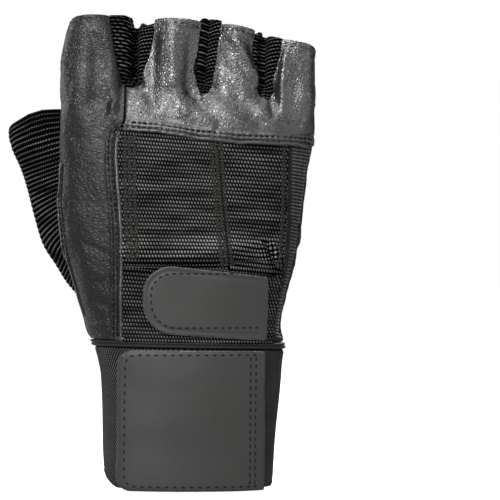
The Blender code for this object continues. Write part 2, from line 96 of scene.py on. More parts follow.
def newPiece(bm, name):
    mesh = bpy.data.meshes.new(name)
    bm.normal_update()
    bm.to_mesh(mesh)
    bm.free()
    mesh.shade_smooth()
    piece = bpy.data.objects.new(name, mesh)
    bpy.context.scene.collection.objects.link(piece)
    return piece


def keepModifiers(piece):
    depsgraph = bpy.context.evaluated_depsgraph_get()
    made = bpy.data.meshes.new_from_object(piece.evaluated_get(depsgraph))
    spent = piece.data
    piece.modifiers.clear()
    piece.data = made
    bpy.data.meshes.remove(spent)
    return piece


def discard(piece):
    mesh = piece.data
    bpy.data.objects.remove(piece)
    bpy.data.meshes.remove(mesh)


def pointsOf(mesh):
    spots = np.empty(len(mesh.vertices) * 3, np.float32)
    mesh.vertices.foreach_get("co", spots)
    return spots.reshape(-1, 3).astype(float)


def setPoints(mesh, spots):
    mesh.vertices.foreach_set("co", np.asarray(spots, np.float32).ravel())
    mesh.update()


# a curve through one column of a table, which never overshoots the rows
def easedColumn(heights, values, wanted):
    steps = np.diff(heights)
    slopes = np.diff(values) / steps
    bends = np.zeros(len(values))
    for row in range(1, len(values) - 1):
        before, after = slopes[row - 1], slopes[row]
        if before * after > 0:
            bends[row] = 2 * before * after / (before + after)
    bends[0], bends[-1] = slopes[0], slopes[-1]
    spot = np.clip(np.searchsorted(heights, wanted, side="right") - 1, 0, len(steps) - 1)
    step = steps[spot]
    t = (wanted - heights[spot]) / step
    start = (1 + 2 * t) * (1 - t) ** 2 * values[spot] + t * (1 - t) ** 2 * step * bends[spot]
    return start + t * t * (3 - 2 * t) * values[spot + 1] + t * t * (t - 1) * step * bends[spot + 1]


# points of a form, in metres, at heights and angles round it, drawn in by an offset in millimetres
def formPoints(rows, heights, angles, offset=0.0):
    table = np.array(rows, float)
    heights = np.asarray(heights, float)
    left, right, rear, front, tilt, slope = (
        easedColumn(table[:, 0], table[:, column], heights) for column in range(1, 7))
    power = 2 / handForm["squareness"]
    side = np.sign(np.cos(angles)) * np.abs(np.cos(angles)) ** power
    depth = np.sign(np.sin(angles)) * np.abs(np.sin(angles)) ** power
    across = ((right - left) / 2 - offset) * side
    through = ((front - rear) / 2 - offset) * depth
    tilt = np.radians(tilt)
    spots = np.stack([
        (left + right) / 2 + across * np.cos(tilt),
        (rear + front) / 2 + through,
        heights + across * np.sin(tilt) + through * slope,
    ], axis=-1)
    return spots * mm


def cutIntoRings(bm, rings):
    uprights = [edge for edge in bm.edges if abs(edge.verts[0].co.z - edge.verts[1].co.z) > 0.5]
    bmesh.ops.subdivide_edges(bm, edges=uprights, cuts=rings - 1, use_grid_fill=True)


# a closed tube round a form: a cone of equal ends, cut into rings, whose points then move onto the form
def tubeMesh(rows, segments, rings, offset=0.0):
    bm = bmesh.new()
    bmesh.ops.create_cone(bm, cap_ends=True, segments=segments, radius1=1, radius2=1, depth=1)
    cutIntoRings(bm, rings)
    unit = np.array([vert.co for vert in bm.verts])
    heights = rows[0][0] + (unit[:, 2] + 0.5) * (rows[-1][0] - rows[0][0])
    spots = formPoints(rows, heights, np.arctan2(unit[:, 1], unit[:, 0]), offset)
    for vert, spot in zip(bm.verts, spots):
        vert.co = spot
    return bm


# a stall's rows with one more past its open end
def runOut(rows):
    height, left, right, rear, front, tilt, slope = rows[-1]
    shift = -math.sin(math.radians(tilt)) * handForm["openRun"]
    rise = math.cos(math.radians(tilt)) * handForm["openRun"]
    return rows + [(height + rise, left + shift, right + shift, rear, front, tilt, slope)]


def inTriangles(piece):
    bm = bmesh.new()
    bm.from_mesh(piece.data)
    bmesh.ops.triangulate(bm, faces=bm.faces)
    bm.to_mesh(piece.data)
    bm.free()


def makeForm():
    form = newPiece(tubeMesh(handForm["hand"], *handForm["handGrid"]), "handForm")
    whole = bmesh.new()
    whole.from_mesh(form.data)
    for finger in fingers:
        stall = newPiece(tubeMesh(runOut(handForm[finger]), *handForm["stallGrid"]), finger)
        whole.from_mesh(stall.data)
        discard(stall)
    whole.to_mesh(form.data)
    whole.free()
    remesh = form.modifiers.new("voxels", "REMESH")
    remesh.mode = "VOXEL"
    remesh.voxel_size = handForm["voxel"] * mm
    smooth = form.modifiers.new("smooth", "SMOOTH")
    smooth.iterations = handForm["smoothing"]
    keepModifiers(form)
    inTriangles(form)
    return form


form = makeForm()
formMesh = bmesh.new()
formMesh.from_mesh(form.data)
formTree = BVHTree.FromBMesh(formMesh)
formMesh.normal_update()
formNormals = np.array([
    sum((vert.normal for vert in face.verts), Vector()).normalized() for face in formMesh.faces])
formMesh.free()
print("hand form made:", len(form.data.polygons), "faces")


# the form's outward direction and the height above it, in millimetres, at each point
def overForm(spots):
    ways = np.empty((len(spots), 3))
    lifts = np.empty(len(spots))
    for row, spot in enumerate(spots):
        here = Vector(spot)
        found, way, face, far = formTree.find_nearest(here)
        ways[row] = formNormals[face]
        lifts[row] = (here - found).dot(way) / mm
    return ways, lifts


# where a line through the hand, at a place seen from the back, meets a surface
def castOn(tree, across, height, side, lift=0.0):
    start = Vector((across * mm, side * beyond * mm, height * mm))
    found, way, face, far = tree.ray_cast(start, Vector((0, -side, 0)))
    if found is None:
        found, way, face, far = tree.find_nearest(Vector((across * mm, side * 0.003, height * mm)))
    return found + way * lift * mm, way


# equal steps along a polyline of vectors
def evenSteps(points, step, closed=False):
    spots = [Vector(point) for point in points]
    if closed:
        spots.append(spots[0])
    lengths = [(after - here).length for here, after in zip(spots, spots[1:])]
    total = sum(lengths)
    count = max(2, round(total / step))
    made, spot, gone = [], 0, 0.0
    for index in range(count if closed else count + 1):
        wanted = total * index / count
        while spot < len(lengths) - 1 and gone + lengths[spot] < wanted:
            gone += lengths[spot]
            spot += 1
        share = (wanted - gone) / max(lengths[spot], 1e-9)
        made.append(spots[spot].lerp(spots[spot + 1], min(1.0, share)))
    return made


# a line drawn at (across, height) laid on a surface, as points half a millimetre or so apart
def laidLine(points, side, step=0.6, tree=None, closed=False):
    return [castOn(tree or formTree, spot.x, spot.y, side)[0] for spot in evenSteps(points, step, closed)]


def treeOfPoints(points):
    tree = KDTree(len(points))
    for index, point in enumerate(points):
        tree.insert(point, index)
    tree.balance()
    return tree


# distance to a laid line and place along it, in millimetres, for many points
def lineField(lines, spots):
    dots, places = [], []
    for line in lines:
        gone = 0.0
        for index, dot in enumerate(line):
            if index:
                gone += (dot - line[index - 1]).length / mm
            dots.append(dot)
            places.append(gone)
    tree = treeOfPoints(dots)
    far = np.empty(len(spots))
    along = np.empty(len(spots))
    for row, spot in enumerate(spots):
        found, index, distance = tree.find(Vector(spot))
        far[row] = distance / mm
        along[row] = places[index]
    return far, along


# an outline with the corners that have a radius made round
def roundedOutline(corners, steps=6):
    points = []
    for index, (across, height, radius) in enumerate(corners):
        here = Vector((across, height))
        if radius == 0:
            points.append(here)
            continue
        before, after = corners[index - 1], corners[(index + 1) % len(corners)]
        rear = (Vector(before[:2]) - here).normalized()
        ahead = (Vector(after[:2]) - here).normalized()
        halfAngle = math.acos(max(-1.0, min(1.0, rear.dot(ahead)))) / 2
        reach = radius / math.tan(halfAngle)
        centre = here + (rear + ahead).normalized() * (radius / math.sin(halfAngle))
        start, end = here + rear * reach - centre, here + ahead * reach - centre
        for step in range(steps + 1):
            points.append(centre + start.lerp(end, step / steps).normalized() * radius)
    return points


# an outline moved in by a distance, its corners mitred
def drawnIn(points, distance):
    area = sum(here.x * after.y - after.x * here.y for here, after in zip(points, points[1:] + points[:1]))
    turn = 1.0 if area > 0 else -1.0
    moved = []
    for index, here in enumerate(points):
        rear = (here - points[index - 1]).normalized()
        ahead = (points[(index + 1) % len(points)] - here).normalized()
        rearWay = Vector((-rear.y, rear.x)) * turn
        mitre = (rearWay + Vector((-ahead.y, ahead.x)) * turn).normalized()
        moved.append(here + mitre * distance / max(mitre.dot(rearWay), 0.3))
    return moved


def prismOf(points, front, rear):
    bm = bmesh.new()
    face = bm.faces.new([bm.verts.new((point[0] * mm, front * mm, point[1] * mm)) for point in points])
    grown = bmesh.ops.extrude_face_region(bm, geom=[face])["geom"]
    moved = [item for item in grown if isinstance(item, bmesh.types.BMVert)]
    bmesh.ops.translate(bm, verts=moved, vec=(0, (rear - front) * mm, 0))
    bmesh.ops.recalc_face_normals(bm, faces=bm.faces)
    bmesh.ops.triangulate(bm, faces=bm.faces)
    return newPiece(bm, "cutter")


def cutWith(piece, cutter, operation):
    modifier = piece.modifiers.new("cut", "BOOLEAN")
    modifier.operation = operation
    modifier.solver = "MANIFOLD"
    modifier.object = cutter
    keepModifiers(piece)
    discard(cutter)


# the open end of a stall, as a plane
def rimPlane(rows):
    height, left, right, rear, front, tilt, slope = rows[-1]
    tilt = math.radians(tilt)
    centre = Vector(((left + right) / 2, (rear + front) / 2, height)) * mm
    return centre, Vector((-math.sin(tilt), -math.cos(tilt) * slope, math.cos(tilt)))


# what is kept of the form: faces this near to it (in metres) that face as it does
keeping = {"offForm": 8e-6, "facing": 0.9, "stallsFrom": 178.0}


# the stretch of the form inside an outline, as an open sheet with clean edges
def formSheet(outline, front, rear, without=(), thumbOffset=None):
    sheet = bpy.data.objects.new("sheet", form.data.copy())
    bpy.context.scene.collection.objects.link(sheet)
    cutWith(sheet, prismOf(outline, front, rear), "INTERSECT")
    for strip in without:
        cutWith(sheet, prismOf(strip, -beyond, beyond), "DIFFERENCE")
    if thumbOffset is not None:
        thumb = tubeMesh(runOut(handForm["thumb"]), *handForm["thumbGrid"], thumbOffset)
        bmesh.ops.triangulate(thumb, faces=thumb.faces)
        cutWith(sheet, newPiece(thumb, "cutter"), "DIFFERENCE")
    bm = bmesh.new()
    bm.from_mesh(sheet.data)
    stray = []
    for face in bm.faces:
        found, way, index, far = formTree.find_nearest(face.calc_center_median())
        if far > keeping["offForm"] or way.dot(face.normal) < keeping["facing"]:
            stray.append(face)
    bmesh.ops.delete(bm, geom=stray, context="FACES")
    splits = (-beyond, *handForm["fingerSplits"], beyond)
    for finger, low, high in zip(fingers, splits, splits[1:]):
        centre, way = rimPlane(handForm[finger])
        parts = set()
        for face in bm.faces:
            middle = face.calc_center_median() / mm
            if middle.z > keeping["stallsFrom"] and low < middle.x < high:
                parts.update((face, *face.verts, *face.edges))
        if parts:
            bmesh.ops.bisect_plane(bm, geom=list(parts), plane_co=centre, plane_no=way, clear_outer=True)
    bmesh.ops.delete(bm, geom=[vert for vert in bm.verts if not vert.link_faces], context="VERTS")
    bm.to_mesh(sheet.data)
    bm.free()
    return sheet


# a sheet made a solid layer between two heights over the form, in even small faces with soft edges
def layerOf(sheet, name, low, high, voxel, smoothing=3):
    bm = bmesh.new()
    bm.from_mesh(sheet.data)
    discard(sheet)
    bmesh.ops.remove_doubles(bm, verts=bm.verts, dist=1e-6)
    bm.normal_update()
    for vert in bm.verts:
        vert.co += vert.normal * high * mm
    layer = newPiece(bm, name)
    solid = layer.modifiers.new("thickness", "SOLIDIFY")
    solid.thickness = (high - low) * mm
    solid.offset = -1
    remesh = layer.modifiers.new("voxels", "REMESH")
    remesh.mode = "VOXEL"
    remesh.voxel_size = voxel * mm
    smooth = layer.modifiers.new("smooth", "SMOOTH")
    smooth.iterations = smoothing
    keepModifiers(layer)
    layer.data.shade_smooth()
    return layer


# moves a layer along the form's outward direction; its inner face follows in part
def shapeLayer(layer, low, high, push, follow=0.6):
    spots = pointsOf(layer.data)
    ways, lifts = overForm(spots)
    share = follow + (1 - follow) * np.clip((lifts - low) / (high - low), 0, 1)
    setPoints(layer.data, spots + ways * (push(spots, ways) * share)[:, None] * mm)


def easeStep(values, low, high):
    t = np.clip((values - low) / (high - low), 0, 1)
    return t * t * (3 - 2 * t)


# a long fold or hollow between two places on one side of the hand, fading at its ends
def fold(spots, side, start, end, width, height, bow=0.0):
    here = spots[:, [0, 2]] / mm
    start, end = np.array(start, float), np.array(end, float)
    line = end - start
    length = np.linalg.norm(line)
    line /= length
    off = here - start
    along = off @ line / length
    across = off @ np.array([-line[1], line[0]]) - bow * np.sin(np.pi * np.clip(along, 0, 1))
    reach = np.sqrt(np.clip(np.sin(np.pi * np.clip(along, 0, 1)), 0, 1))
    onSide = easeStep(side * spots[:, 1] / mm, -1.0, 4.0)
    return height * np.exp(-((across / width) ** 2)) * reach * onSide


# all the folds of a piece, each one's start, end, width, height and perhaps bow
def folds(spots, side, bends):
    return sum(fold(spots, side, *bend) for bend in bends)


# a soft ridge, or a groove, at a distance from a line
def bead(far, distance, width, height):
    return height * np.exp(-(((far - distance) / width) ** 2))


# uneven swells of soft leather, in millimetres
def rumple(spots, size, height, seed=0.0, stretch=(1, 1, 1)):
    scaled = spots / mm / size * np.array(stretch)
    return height * np.array([noise.noise(Vector(spot) + Vector((seed, seed, seed))) for spot in scaled])


# sharp creases where the noise passes zero
def creases(spots, size, height, seed=0.0, stretch=(1, 1, 1)):
    return -height * np.exp(-np.abs(rumple(spots, size, 1.0, seed, stretch)) * 9)


# how a folded and stitched edge stands: thick at the edge, drawn in at each row of stitches
def hemLift(far, along, rows, lift=0.5, dip=0.4, pitch=2.5):
    push = lift * (1 - easeStep(far, rows[-1] + 0.3, rows[-1] + 1.8))
    pull = 0.7 + 0.3 * np.cos(along * 2 * np.pi / pitch)
    for row in rows:
        push -= dip * pull * np.exp(-(((far - row) / 0.5) ** 2))
    return push


# each loop's place on a flat pattern, from a function of the points; turns is the count round a tube
def setUv(piece, flatten, turns=0.0):
    mesh = piece.data
    flat = flatten(pointsOf(mesh))
    corners = np.empty(len(mesh.loops), np.int32)
    mesh.loops.foreach_get("vertex_index", corners)
    places = flat[corners]
    if turns:
        starts = np.empty(len(mesh.polygons), np.int32)
        counts = np.empty(len(mesh.polygons), np.int32)
        mesh.polygons.foreach_get("loop_start", starts)
        mesh.polygons.foreach_get("loop_total", counts)
        owner = np.repeat(np.arange(len(starts)), counts)
        highest = np.maximum.reduceat(places[:, 0], starts)
        lowest = np.minimum.reduceat(places[:, 0], starts)
        crossing = (highest - lowest > turns / 2)[owner] & (places[:, 0] < turns / 2)
        places[crossing, 0] += turns
    layer = mesh.uv_layers.new(name="pattern")
    layer.data.foreach_set("uv", places.astype(np.float32).ravel())


def addNode(material, kind, wired=None, **settings):
    node = material.node_tree.nodes.new("ShaderNode" + kind)
    for key, value in settings.items():
        setattr(node, key, value)
    for key, value in (wired or {}).items():
        if isinstance(value, bpy.types.NodeSocket):
            material.node_tree.links.new(value, node.inputs[key])
        else:
            node.inputs[key].default_value = value
    return node


def startMaterial(name, colour, roughness, specular=0.5, **more):
    material = bpy.data.materials.new(name)
    material.use_nodes = True
    shader = material.node_tree.nodes["Principled BSDF"]
    shader.inputs["Base Color"].default_value = (*colour, 1)
    shader.inputs["Roughness"].default_value = roughness
    shader.inputs["Specular IOR Level"].default_value = specular
    for key, value in more.items():
        shader.inputs[key.replace("_", " ")].default_value = value
    material.diffuse_color = (*colour, 1)
    return material, shader


def wire(material, source, socket):
    material.node_tree.links.new(source, socket)


def math2(material, operation, first, second=0.0, third=0.0):
    return addNode(material, "Math", {0: first, 1: second, 2: third}, operation=operation).outputs[0]


def blendColours(material, share, low, high):
    ramp = addNode(material, "ValToRGB", {"Fac": share})
    ramp.color_ramp.elements[0].color = (*low, 1)
    ramp.color_ramp.elements[1].color = (*high, 1)
    return ramp.outputs["Color"]


def rangeOf(material, value, low, high, newLow, newHigh, eased=False):
    return addNode(material, "MapRange", {
        "Value": value, "From Min": low, "From Max": high, "To Min": newLow, "To Max": newHigh,
    }, interpolation_type="SMOOTHSTEP" if eased else "LINEAR").outputs["Result"]


def noiseOf(material, place, scale, detail, **more):
    wired = {"Vector": place, "Scale": scale, "Detail": detail}
    wired.update({key.capitalize(): value for key, value in more.items()})
    return addNode(material, "TexNoise", wired).outputs["Fac"]


def stretched(material, place, scale):
    return addNode(material, "Mapping", {"Vector": place, "Scale": scale}).outputs[0]


def reliefFrom(material, shader, height, distance=mm, strength=1.0):
    bump = addNode(material, "Bump", {"Height": height, "Strength": strength, "Distance": distance})
    wire(material, bump.outputs["Normal"], shader.inputs["Normal"])


# how far up the object, in millimetres
def heightOn(material):
    return addNode(material, "SeparateXYZ", {0: placeOn(material)}).outputs["Z"]


# the two ways along the piece's own pattern
def patternOn(material):
    flat = addNode(material, "SeparateXYZ", {0: addNode(material, "UVMap", uv_map="pattern").outputs[0]})
    return flat.outputs["X"], flat.outputs["Y"]


# place on the object in millimetres, and the same bent a little by noise
def placeOn(material, warp=0.0, warpSize=4.0):
    spot = addNode(material, "TexCoord").outputs["Object"]
    sized = addNode(material, "VectorMath", {0: spot, "Scale": 1000.0}, operation="SCALE").outputs[0]
    if not warp:
        return sized
    drift = addNode(material, "TexNoise", {"Vector": sized, "Scale": 1 / warpSize, "Detail": 2.0})
    return addNode(material, "VectorMath", {0: drift.outputs["Color"], 1: (warp,) * 3, 2: sized},
                   operation="MULTIPLY_ADD").outputs[0]


leatherLook = {
    "top": (0.0034, 0.0034, 0.0035), "creaseShade": (0.0008, 0.0008, 0.0008),
    "roughness": (0.255, 0.47), "coarseRoughness": 0.1, "shine": (0.8, 0.42),
    "grain": 1.6, "grainHeight": 0.11, "fineGrain": 1.0, "fineHeight": 0.125,
    "swell": 7.0, "swellHeight": 0.05, "wrinkle": 5.0, "wrinkleHeight": 0.02, "wrinkleWidth": 0.06,
    "grainStarts": 160.0, "grainFull": 138.0,    # heights between which the coarse grain sets in
    "warp": (0.9, 2.2), "squeeze": (0.72, 0.72, 1.3),
}
sideLook = dict(leatherLook, shine=(0.3, 0.22), roughness=(0.34, 0.5), fineHeight=0.13, grainHeight=0.16)


def cellsOf(material, place, size, soft):
    cells = addNode(material, "TexVoronoi", {"Vector": place, "Scale": 1 / size}, feature="DISTANCE_TO_EDGE")
    return rangeOf(material, cells.outputs["Distance"], 0.0, soft, 0.0, 1.0, True)


# pebbled leather: round cells parted by creases painted darker as shade, coarser towards the wrist, with
# wrinkles and soft swells
def makeLeather(name, look):
    material, shader = startMaterial(name, look["top"], look["roughness"][0], 0.7)
    place = placeOn(material, *look["warp"])
    coarse = rangeOf(material, heightOn(material), look["grainStarts"], look["grainFull"], 0.0, 1.0)
    pebbles = cellsOf(material, stretched(material, place, look["squeeze"]), look["grain"], 0.42)
    fine = cellsOf(material, place, look["fineGrain"], 0.4)
    soft = noiseOf(material, place, 1 / look["swell"], 2.0)
    wave = noiseOf(material, place, 1 / look["wrinkle"], 1.0, distortion=0.4)
    offMiddle = math2(material, "ABSOLUTE", math2(material, "SUBTRACT", wave, 0.5))
    wrinkles = rangeOf(material, offMiddle, 0.0, look["wrinkleWidth"], 0.0, 1.0, True)
    fineShare = rangeOf(material, coarse, 0.0, 1.0, 1.0, 0.25)
    relief = math2(material, "MULTIPLY", math2(material, "MULTIPLY", pebbles, coarse), look["grainHeight"])
    for layer, height in ((math2(material, "MULTIPLY", fine, fineShare), "fineHeight"),
                          (wrinkles, "wrinkleHeight"), (soft, "swellHeight")):
        relief = math2(material, "MULTIPLY_ADD", layer, look[height], relief)
    reliefFrom(material, shader, relief)
    # painted shade: the grain's creases are coloured darker than the cell tops, where shade falls
    deep = math2(material, "MULTIPLY", rangeOf(material, pebbles, 0.0, 0.5, 0.0, 1.0),
                 rangeOf(material, fine, 0.0, 0.4, 0.3, 1.0))
    wire(material, blendColours(material, deep, look["creaseShade"], look["top"]), shader.inputs["Base Color"])
    rough = rangeOf(material, deep, 0.0, 0.8, look["roughness"][1], look["roughness"][0])
    rough = math2(material, "MULTIPLY_ADD", coarse, look["coarseRoughness"], rough)
    wire(material, rough, shader.inputs["Roughness"])
    wire(material, rangeOf(material, coarse, 0.0, 1.0, *look["shine"]), shader.inputs["Specular IOR Level"])
    return material


# the rough brown inside of the leather
suedeLook = {"middle": (0.030, 0.021, 0.016), "low": (0.007, 0.005, 0.004), "high": (0.022, 0.015, 0.011)}


def makeSuede(name, look):
    material, shader = startMaterial(name, look["middle"], 0.95, 0.2, Sheen_Weight=0.3)
    nap = noiseOf(material, placeOn(material), 1.6, 5.0)
    wire(material, blendColours(material, nap, look["low"], look["high"]), shader.inputs["Base Color"])
    reliefFrom(material, shader, nap, 0.0002, 0.7)
    return material


# knits: the loops' colour (a painted highlight on the thread), how much gaps between columns show, roughness,
# reach of the light part and, on the mesh, the heights between which a painted sheen brightens the stretched
# knit over the strap, and by how much
knitLooks = {
    "mesh": {"loop": (0.10, 0.10, 0.097), "columnShare": 0.9, "roughness": 0.5, "reach": (0.35, 0.9),
             "stretchSheen": (96.5, 109.0, 0.6)},
    "coarse": {"loop": (0.065, 0.065, 0.063), "columnShare": 0.9, "roughness": 0.55, "reach": (0.3, 0.95)},
    "rib": {"loop": (0.10, 0.10, 0.096), "columnShare": 0.75, "roughness": 0.55, "reach": (0.25, 1.0)},
}
# the near-black between the loops: painted shade
knitGapShade = (0.0006, 0.0006, 0.0006)


# a knit seen as rows of small loops painted lighter as highlights, on near-black gaps painted as shade; the
# pattern's unit is one loop
def makeKnit(name, look):
    material, shader = startMaterial(name, look["loop"], look["roughness"], 0.1)
    across, up = patternOn(material)
    shifted = math2(material, "MULTIPLY_ADD", math2(material, "FLOOR", up), 0.5, across)
    shifted = math2(material, "MULTIPLY_ADD", math2(material, "FRACT", up), 0.45, shifted)
    rowWave, loopWave = (
        math2(material, "ABSOLUTE", math2(material, "SINE", math2(material, "MULTIPLY", way, math.pi)))
        for way in (up, shifted))
    rowWave = math2(material, "POWER", rowWave, 4.0)
    loopWave = math2(material, "MULTIPLY_ADD", loopWave, look["columnShare"], 1 - look["columnShare"])
    loops = math2(material, "MULTIPLY", rowWave, loopWave)
    place = placeOn(material)
    wear = noiseOf(material, stretched(material, place, (0.12, 0.12, 0.7)), 0.35, 3.0)
    fibres = noiseOf(material, place, 4.5, 2.0)
    shade = rangeOf(material, loops, *look["reach"], 0.0, 1.0, True)
    shade = math2(material, "MULTIPLY", shade, rangeOf(material, wear, 0.35, 0.65, 0.2, 0.75))
    shade = math2(material, "MULTIPLY", shade, rangeOf(material, fibres, 0.3, 0.7, 0.6, 1.1))
    # painted sheen: the stretched band of mesh over the strap is coloured brighter
    if "stretchSheen" in look:
        low, high, more = look["stretchSheen"]
        height = heightOn(material)
        start = rangeOf(material, height, low, low + 1.5, 0.0, more)
        start = math2(material, "MULTIPLY", start, rangeOf(material, height, high, high - 2.5, 0.0, 1.0))
        shade = math2(material, "MULTIPLY", shade, math2(material, "ADD", 1.0, start))
    # the colour runs from painted shade in the gaps to a painted highlight on the loops
    wire(material, blendColours(material, shade, knitGapShade, look["loop"]), shader.inputs["Base Color"])
    wire(material, math2(material, "MULTIPLY", shade, 0.4), shader.inputs["Specular IOR Level"])
    reliefFrom(material, shader, math2(material, "MULTIPLY_ADD", fibres, 0.2, loops), 0.0004)
    return material


twillLook = {"pitch": 1.7, "gap": (0.0012, 0.0012, 0.0012), "thread": (0.075, 0.074, 0.070)}


# a diagonal weave, its near-black gap colour painted shade between the ribs; the pattern's unit is a
# millimetre
def makeTwill(name, look):
    material, shader = startMaterial(name, look["thread"], 0.8, 0.1)
    across, up = patternOn(material)
    fibres = noiseOf(material, placeOn(material), 2.4, 3.0)
    lean = math2(material, "ADD", across, math2(material, "MULTIPLY", up, -1.0))
    lean = math2(material, "MULTIPLY_ADD", fibres, 0.25, lean)
    ribs = math2(material, "SINE", math2(material, "MULTIPLY", lean, 2 * math.pi / look["pitch"]))
    ribs = rangeOf(material, ribs, 0.1, 1.0, 0.0, 1.0)
    knots = math2(material, "SINE", math2(material, "MULTIPLY", up, 2 * math.pi / (look["pitch"] * 0.6)))
    weave = math2(material, "MULTIPLY", ribs, rangeOf(material, knots, -1.0, 1.0, 0.4, 1.0))
    broad = noiseOf(material, placeOn(material), 0.08, 2.0)
    shade = math2(material, "MULTIPLY", weave, rangeOf(material, broad, 0.3, 0.7, 0.6, 1.0))
    # painted shade: the gaps between the ribs are coloured near-black
    wire(material, blendColours(material, shade, look["gap"], look["thread"]), shader.inputs["Base Color"])
    reliefFrom(material, shader, weave, 0.00012)
    return material


syntheticLook = {
    "middle": (0.022, 0.022, 0.0215), "low": (0.0105, 0.0105, 0.0100), "high": (0.0155, 0.0155, 0.0149),
    "roughness": (0.52, 0.66),
}


# smooth coated cloth with faint streaks and pores
def makeSynthetic(name, look):
    material, shader = startMaterial(name, look["middle"], 0.6, 0.25)
    place = placeOn(material)
    streaks = noiseOf(material, stretched(material, place, (0.25, 0.25, 2.0)), 0.8, 4.0)
    cloud = noiseOf(material, place, 0.06, 3.0)
    pores = noiseOf(material, place, 3.2, 3.0)
    shade = math2(material, "MULTIPLY_ADD", streaks, 0.5, math2(material, "MULTIPLY", cloud, 0.6))
    wire(material, blendColours(material, shade, look["low"], look["high"]), shader.inputs["Base Color"])
    wire(material, rangeOf(material, pores, 0.3, 0.7, *look["roughness"]), shader.inputs["Roughness"])
    reliefFrom(material, shader, math2(material, "MULTIPLY_ADD", streaks, 0.6, pores), 0.0001, 0.35)
    return material


# threads, bindings and cut edges: dark and light colour, roughness, size of the fibres and specular level;
# the cut edges' light colour is a painted highlight along the rim
fibreLooks = {
    # painted highlight: the cut rim of the flap, tab and palm patches is coloured light
    "cutEdgeHighlight": ((0.04, 0.04, 0.04), (0.12, 0.12, 0.117), 0.85, 1.5, 0.3),
    "rolledLeather": ((0.006, 0.0065, 0.0065), (0.014, 0.0148, 0.0146), 0.42, 1.2, 0.45),
    "stitchThread": ((0.0015, 0.0015, 0.0015), (0.006, 0.006, 0.006), 0.6, 2.5, 0.08),
    "overlockThread": ((0.016, 0.016, 0.016), (0.06, 0.06, 0.056), 0.5, 2.5, 0.3),
    "channelThread": ((0.003, 0.0027, 0.0024), (0.024, 0.022, 0.020), 0.6, 2.5, 0.1),
    "binding": ((0.002, 0.002, 0.002), (0.012, 0.0115, 0.011), 0.7, 1.4, 0.15),
    "innerLining": ((0.004, 0.004, 0.004), (0.01, 0.01, 0.01), 0.9, 1.2, 0.3),
}


def makeFibre(name):
    low, high, roughness, size, specular = fibreLooks[name]
    material, shader = startMaterial(name, high, roughness, specular)
    fibres = noiseOf(material, placeOn(material), size, 3.0)
    wire(material, blendColours(material, fibres, low, high), shader.inputs["Base Color"])
    reliefFrom(material, shader, fibres, 0.00012, 0.6)
    return material


leather = makeLeather("leather", leatherLook)
sideLeather = makeLeather("sideLeather", sideLook)
suede = makeSuede("suedeInside", suedeLook)
knits = {name: makeKnit(name + "Knit", look) for name, look in knitLooks.items()}
twill = makeTwill("cuffTwill", twillLook)
synthetic = makeSynthetic("smoothSynthetic", syntheticLook)
cutEdgeHighlight, rolledLeather, thread, overlockThread, channelThread, binding, lining = (
    makeFibre(name) for name in fibreLooks)
print("materials made")


# gives a piece its materials, outside, inside and at the cut rim, hangs it on the root body and hides the
# frame part it replaces
def dress(piece, slotName, node, outside, inside=None, rim=None, split=-1.0):
    mesh = piece.data
    mesh.materials.clear()
    for material in (outside, inside or outside, rim or outside):
        mesh.materials.append(material)
    if inside or rim:
        middles = np.empty(len(mesh.polygons) * 3, np.float32)
        normals = np.empty(len(mesh.polygons) * 3, np.float32)
        mesh.polygons.foreach_get("center", middles)
        mesh.polygons.foreach_get("normal", normals)
        ways, lifts = overForm(middles.reshape(-1, 3))
        facing = (normals.reshape(-1, 3) * ways).sum(axis=1)
        kind = np.zeros(len(mesh.polygons), np.int32)
        if rim:
            kind[np.abs(facing) < 0.6] = 2
        if inside:
            kind[(facing < (-0.3 if not rim else -0.6)) & (lifts < split)] = 1
        mesh.polygons.foreach_set("material_index", kind)
    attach(piece, "root")
    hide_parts(node)
    return piece


# an open line moved to its left, seen from the back
def besideLine(points, distance):
    spots = [Vector(point) for point in points]
    moved = []
    for index, here in enumerate(spots):
        before, after = spots[max(index - 1, 0)], spots[min(index + 1, len(spots) - 1)]
        way = (after - before).normalized()
        moved.append(here + Vector((-way.y, way.x)) * distance)
    return moved


# the edge of the hand, in the plane of the side seams
def sideLine(side, low, high, step=0.8):
    dots = []
    for height in np.arange(low, high, step):
        start = Vector((side * beyond * mm, handForm["sideSeam"] * mm, height * mm))
        found, way, face, far = formTree.ray_cast(start, Vector((-side, 0, 0)))
        if found is not None:
            dots.append(found)
    return dots


# the open end of a stall as a ring of points, a distance below the end
def rimRing(finger, below=0.0, count=90):
    rows = handForm[finger]
    angles = np.arange(count + 1) * 2 * np.pi / count
    ring = formPoints(rows, np.full(count + 1, rows[-1][0] - below), angles)
    return [Vector(spot) for spot in ring]


def treeOf(piece):
    bm = bmesh.new()
    bm.from_mesh(piece.data)
    tree = BVHTree.FromBMesh(bm)
    bm.free()
    return tree


# a thread from one place to another: where a stretched ball goes, sunk into a surface by a distance
def addBar(bars, start, end, way, radius, sink, length=None, lean=0.0):
    along = (end - start).normalized()
    turned = (along + along.cross(way) * lean).normalized()
    middle = (start + end) / 2 - way * sink * mm
    place = Matrix.Translation(middle) @ turned.to_track_quat("Z", "Y").to_matrix().to_4x4()
    half = length / 2 * mm if length else (end - start).length * 0.62
    bars.append(place @ Matrix.Diagonal((radius * mm, radius * mm, half, 1)))


# one row of stitches along a line of points
def stitchRow(bars, dots, tree, pitch, length, radius, sink, lean, closed):
    stops = evenSteps(dots, pitch * mm, closed)
    pairs = list(zip(stops, stops[1:] + stops[:1])) if closed else list(zip(stops, stops[1:]))
    for here, after in pairs:
        start, startWay, face, far = tree.find_nearest(here)
        end, endWay, face, far = tree.find_nearest(after)
        if (end - start).length > 0.3 * pitch * mm:
            addBar(bars, start, end, (startWay + endWay).normalized(), radius, sink, length, lean)


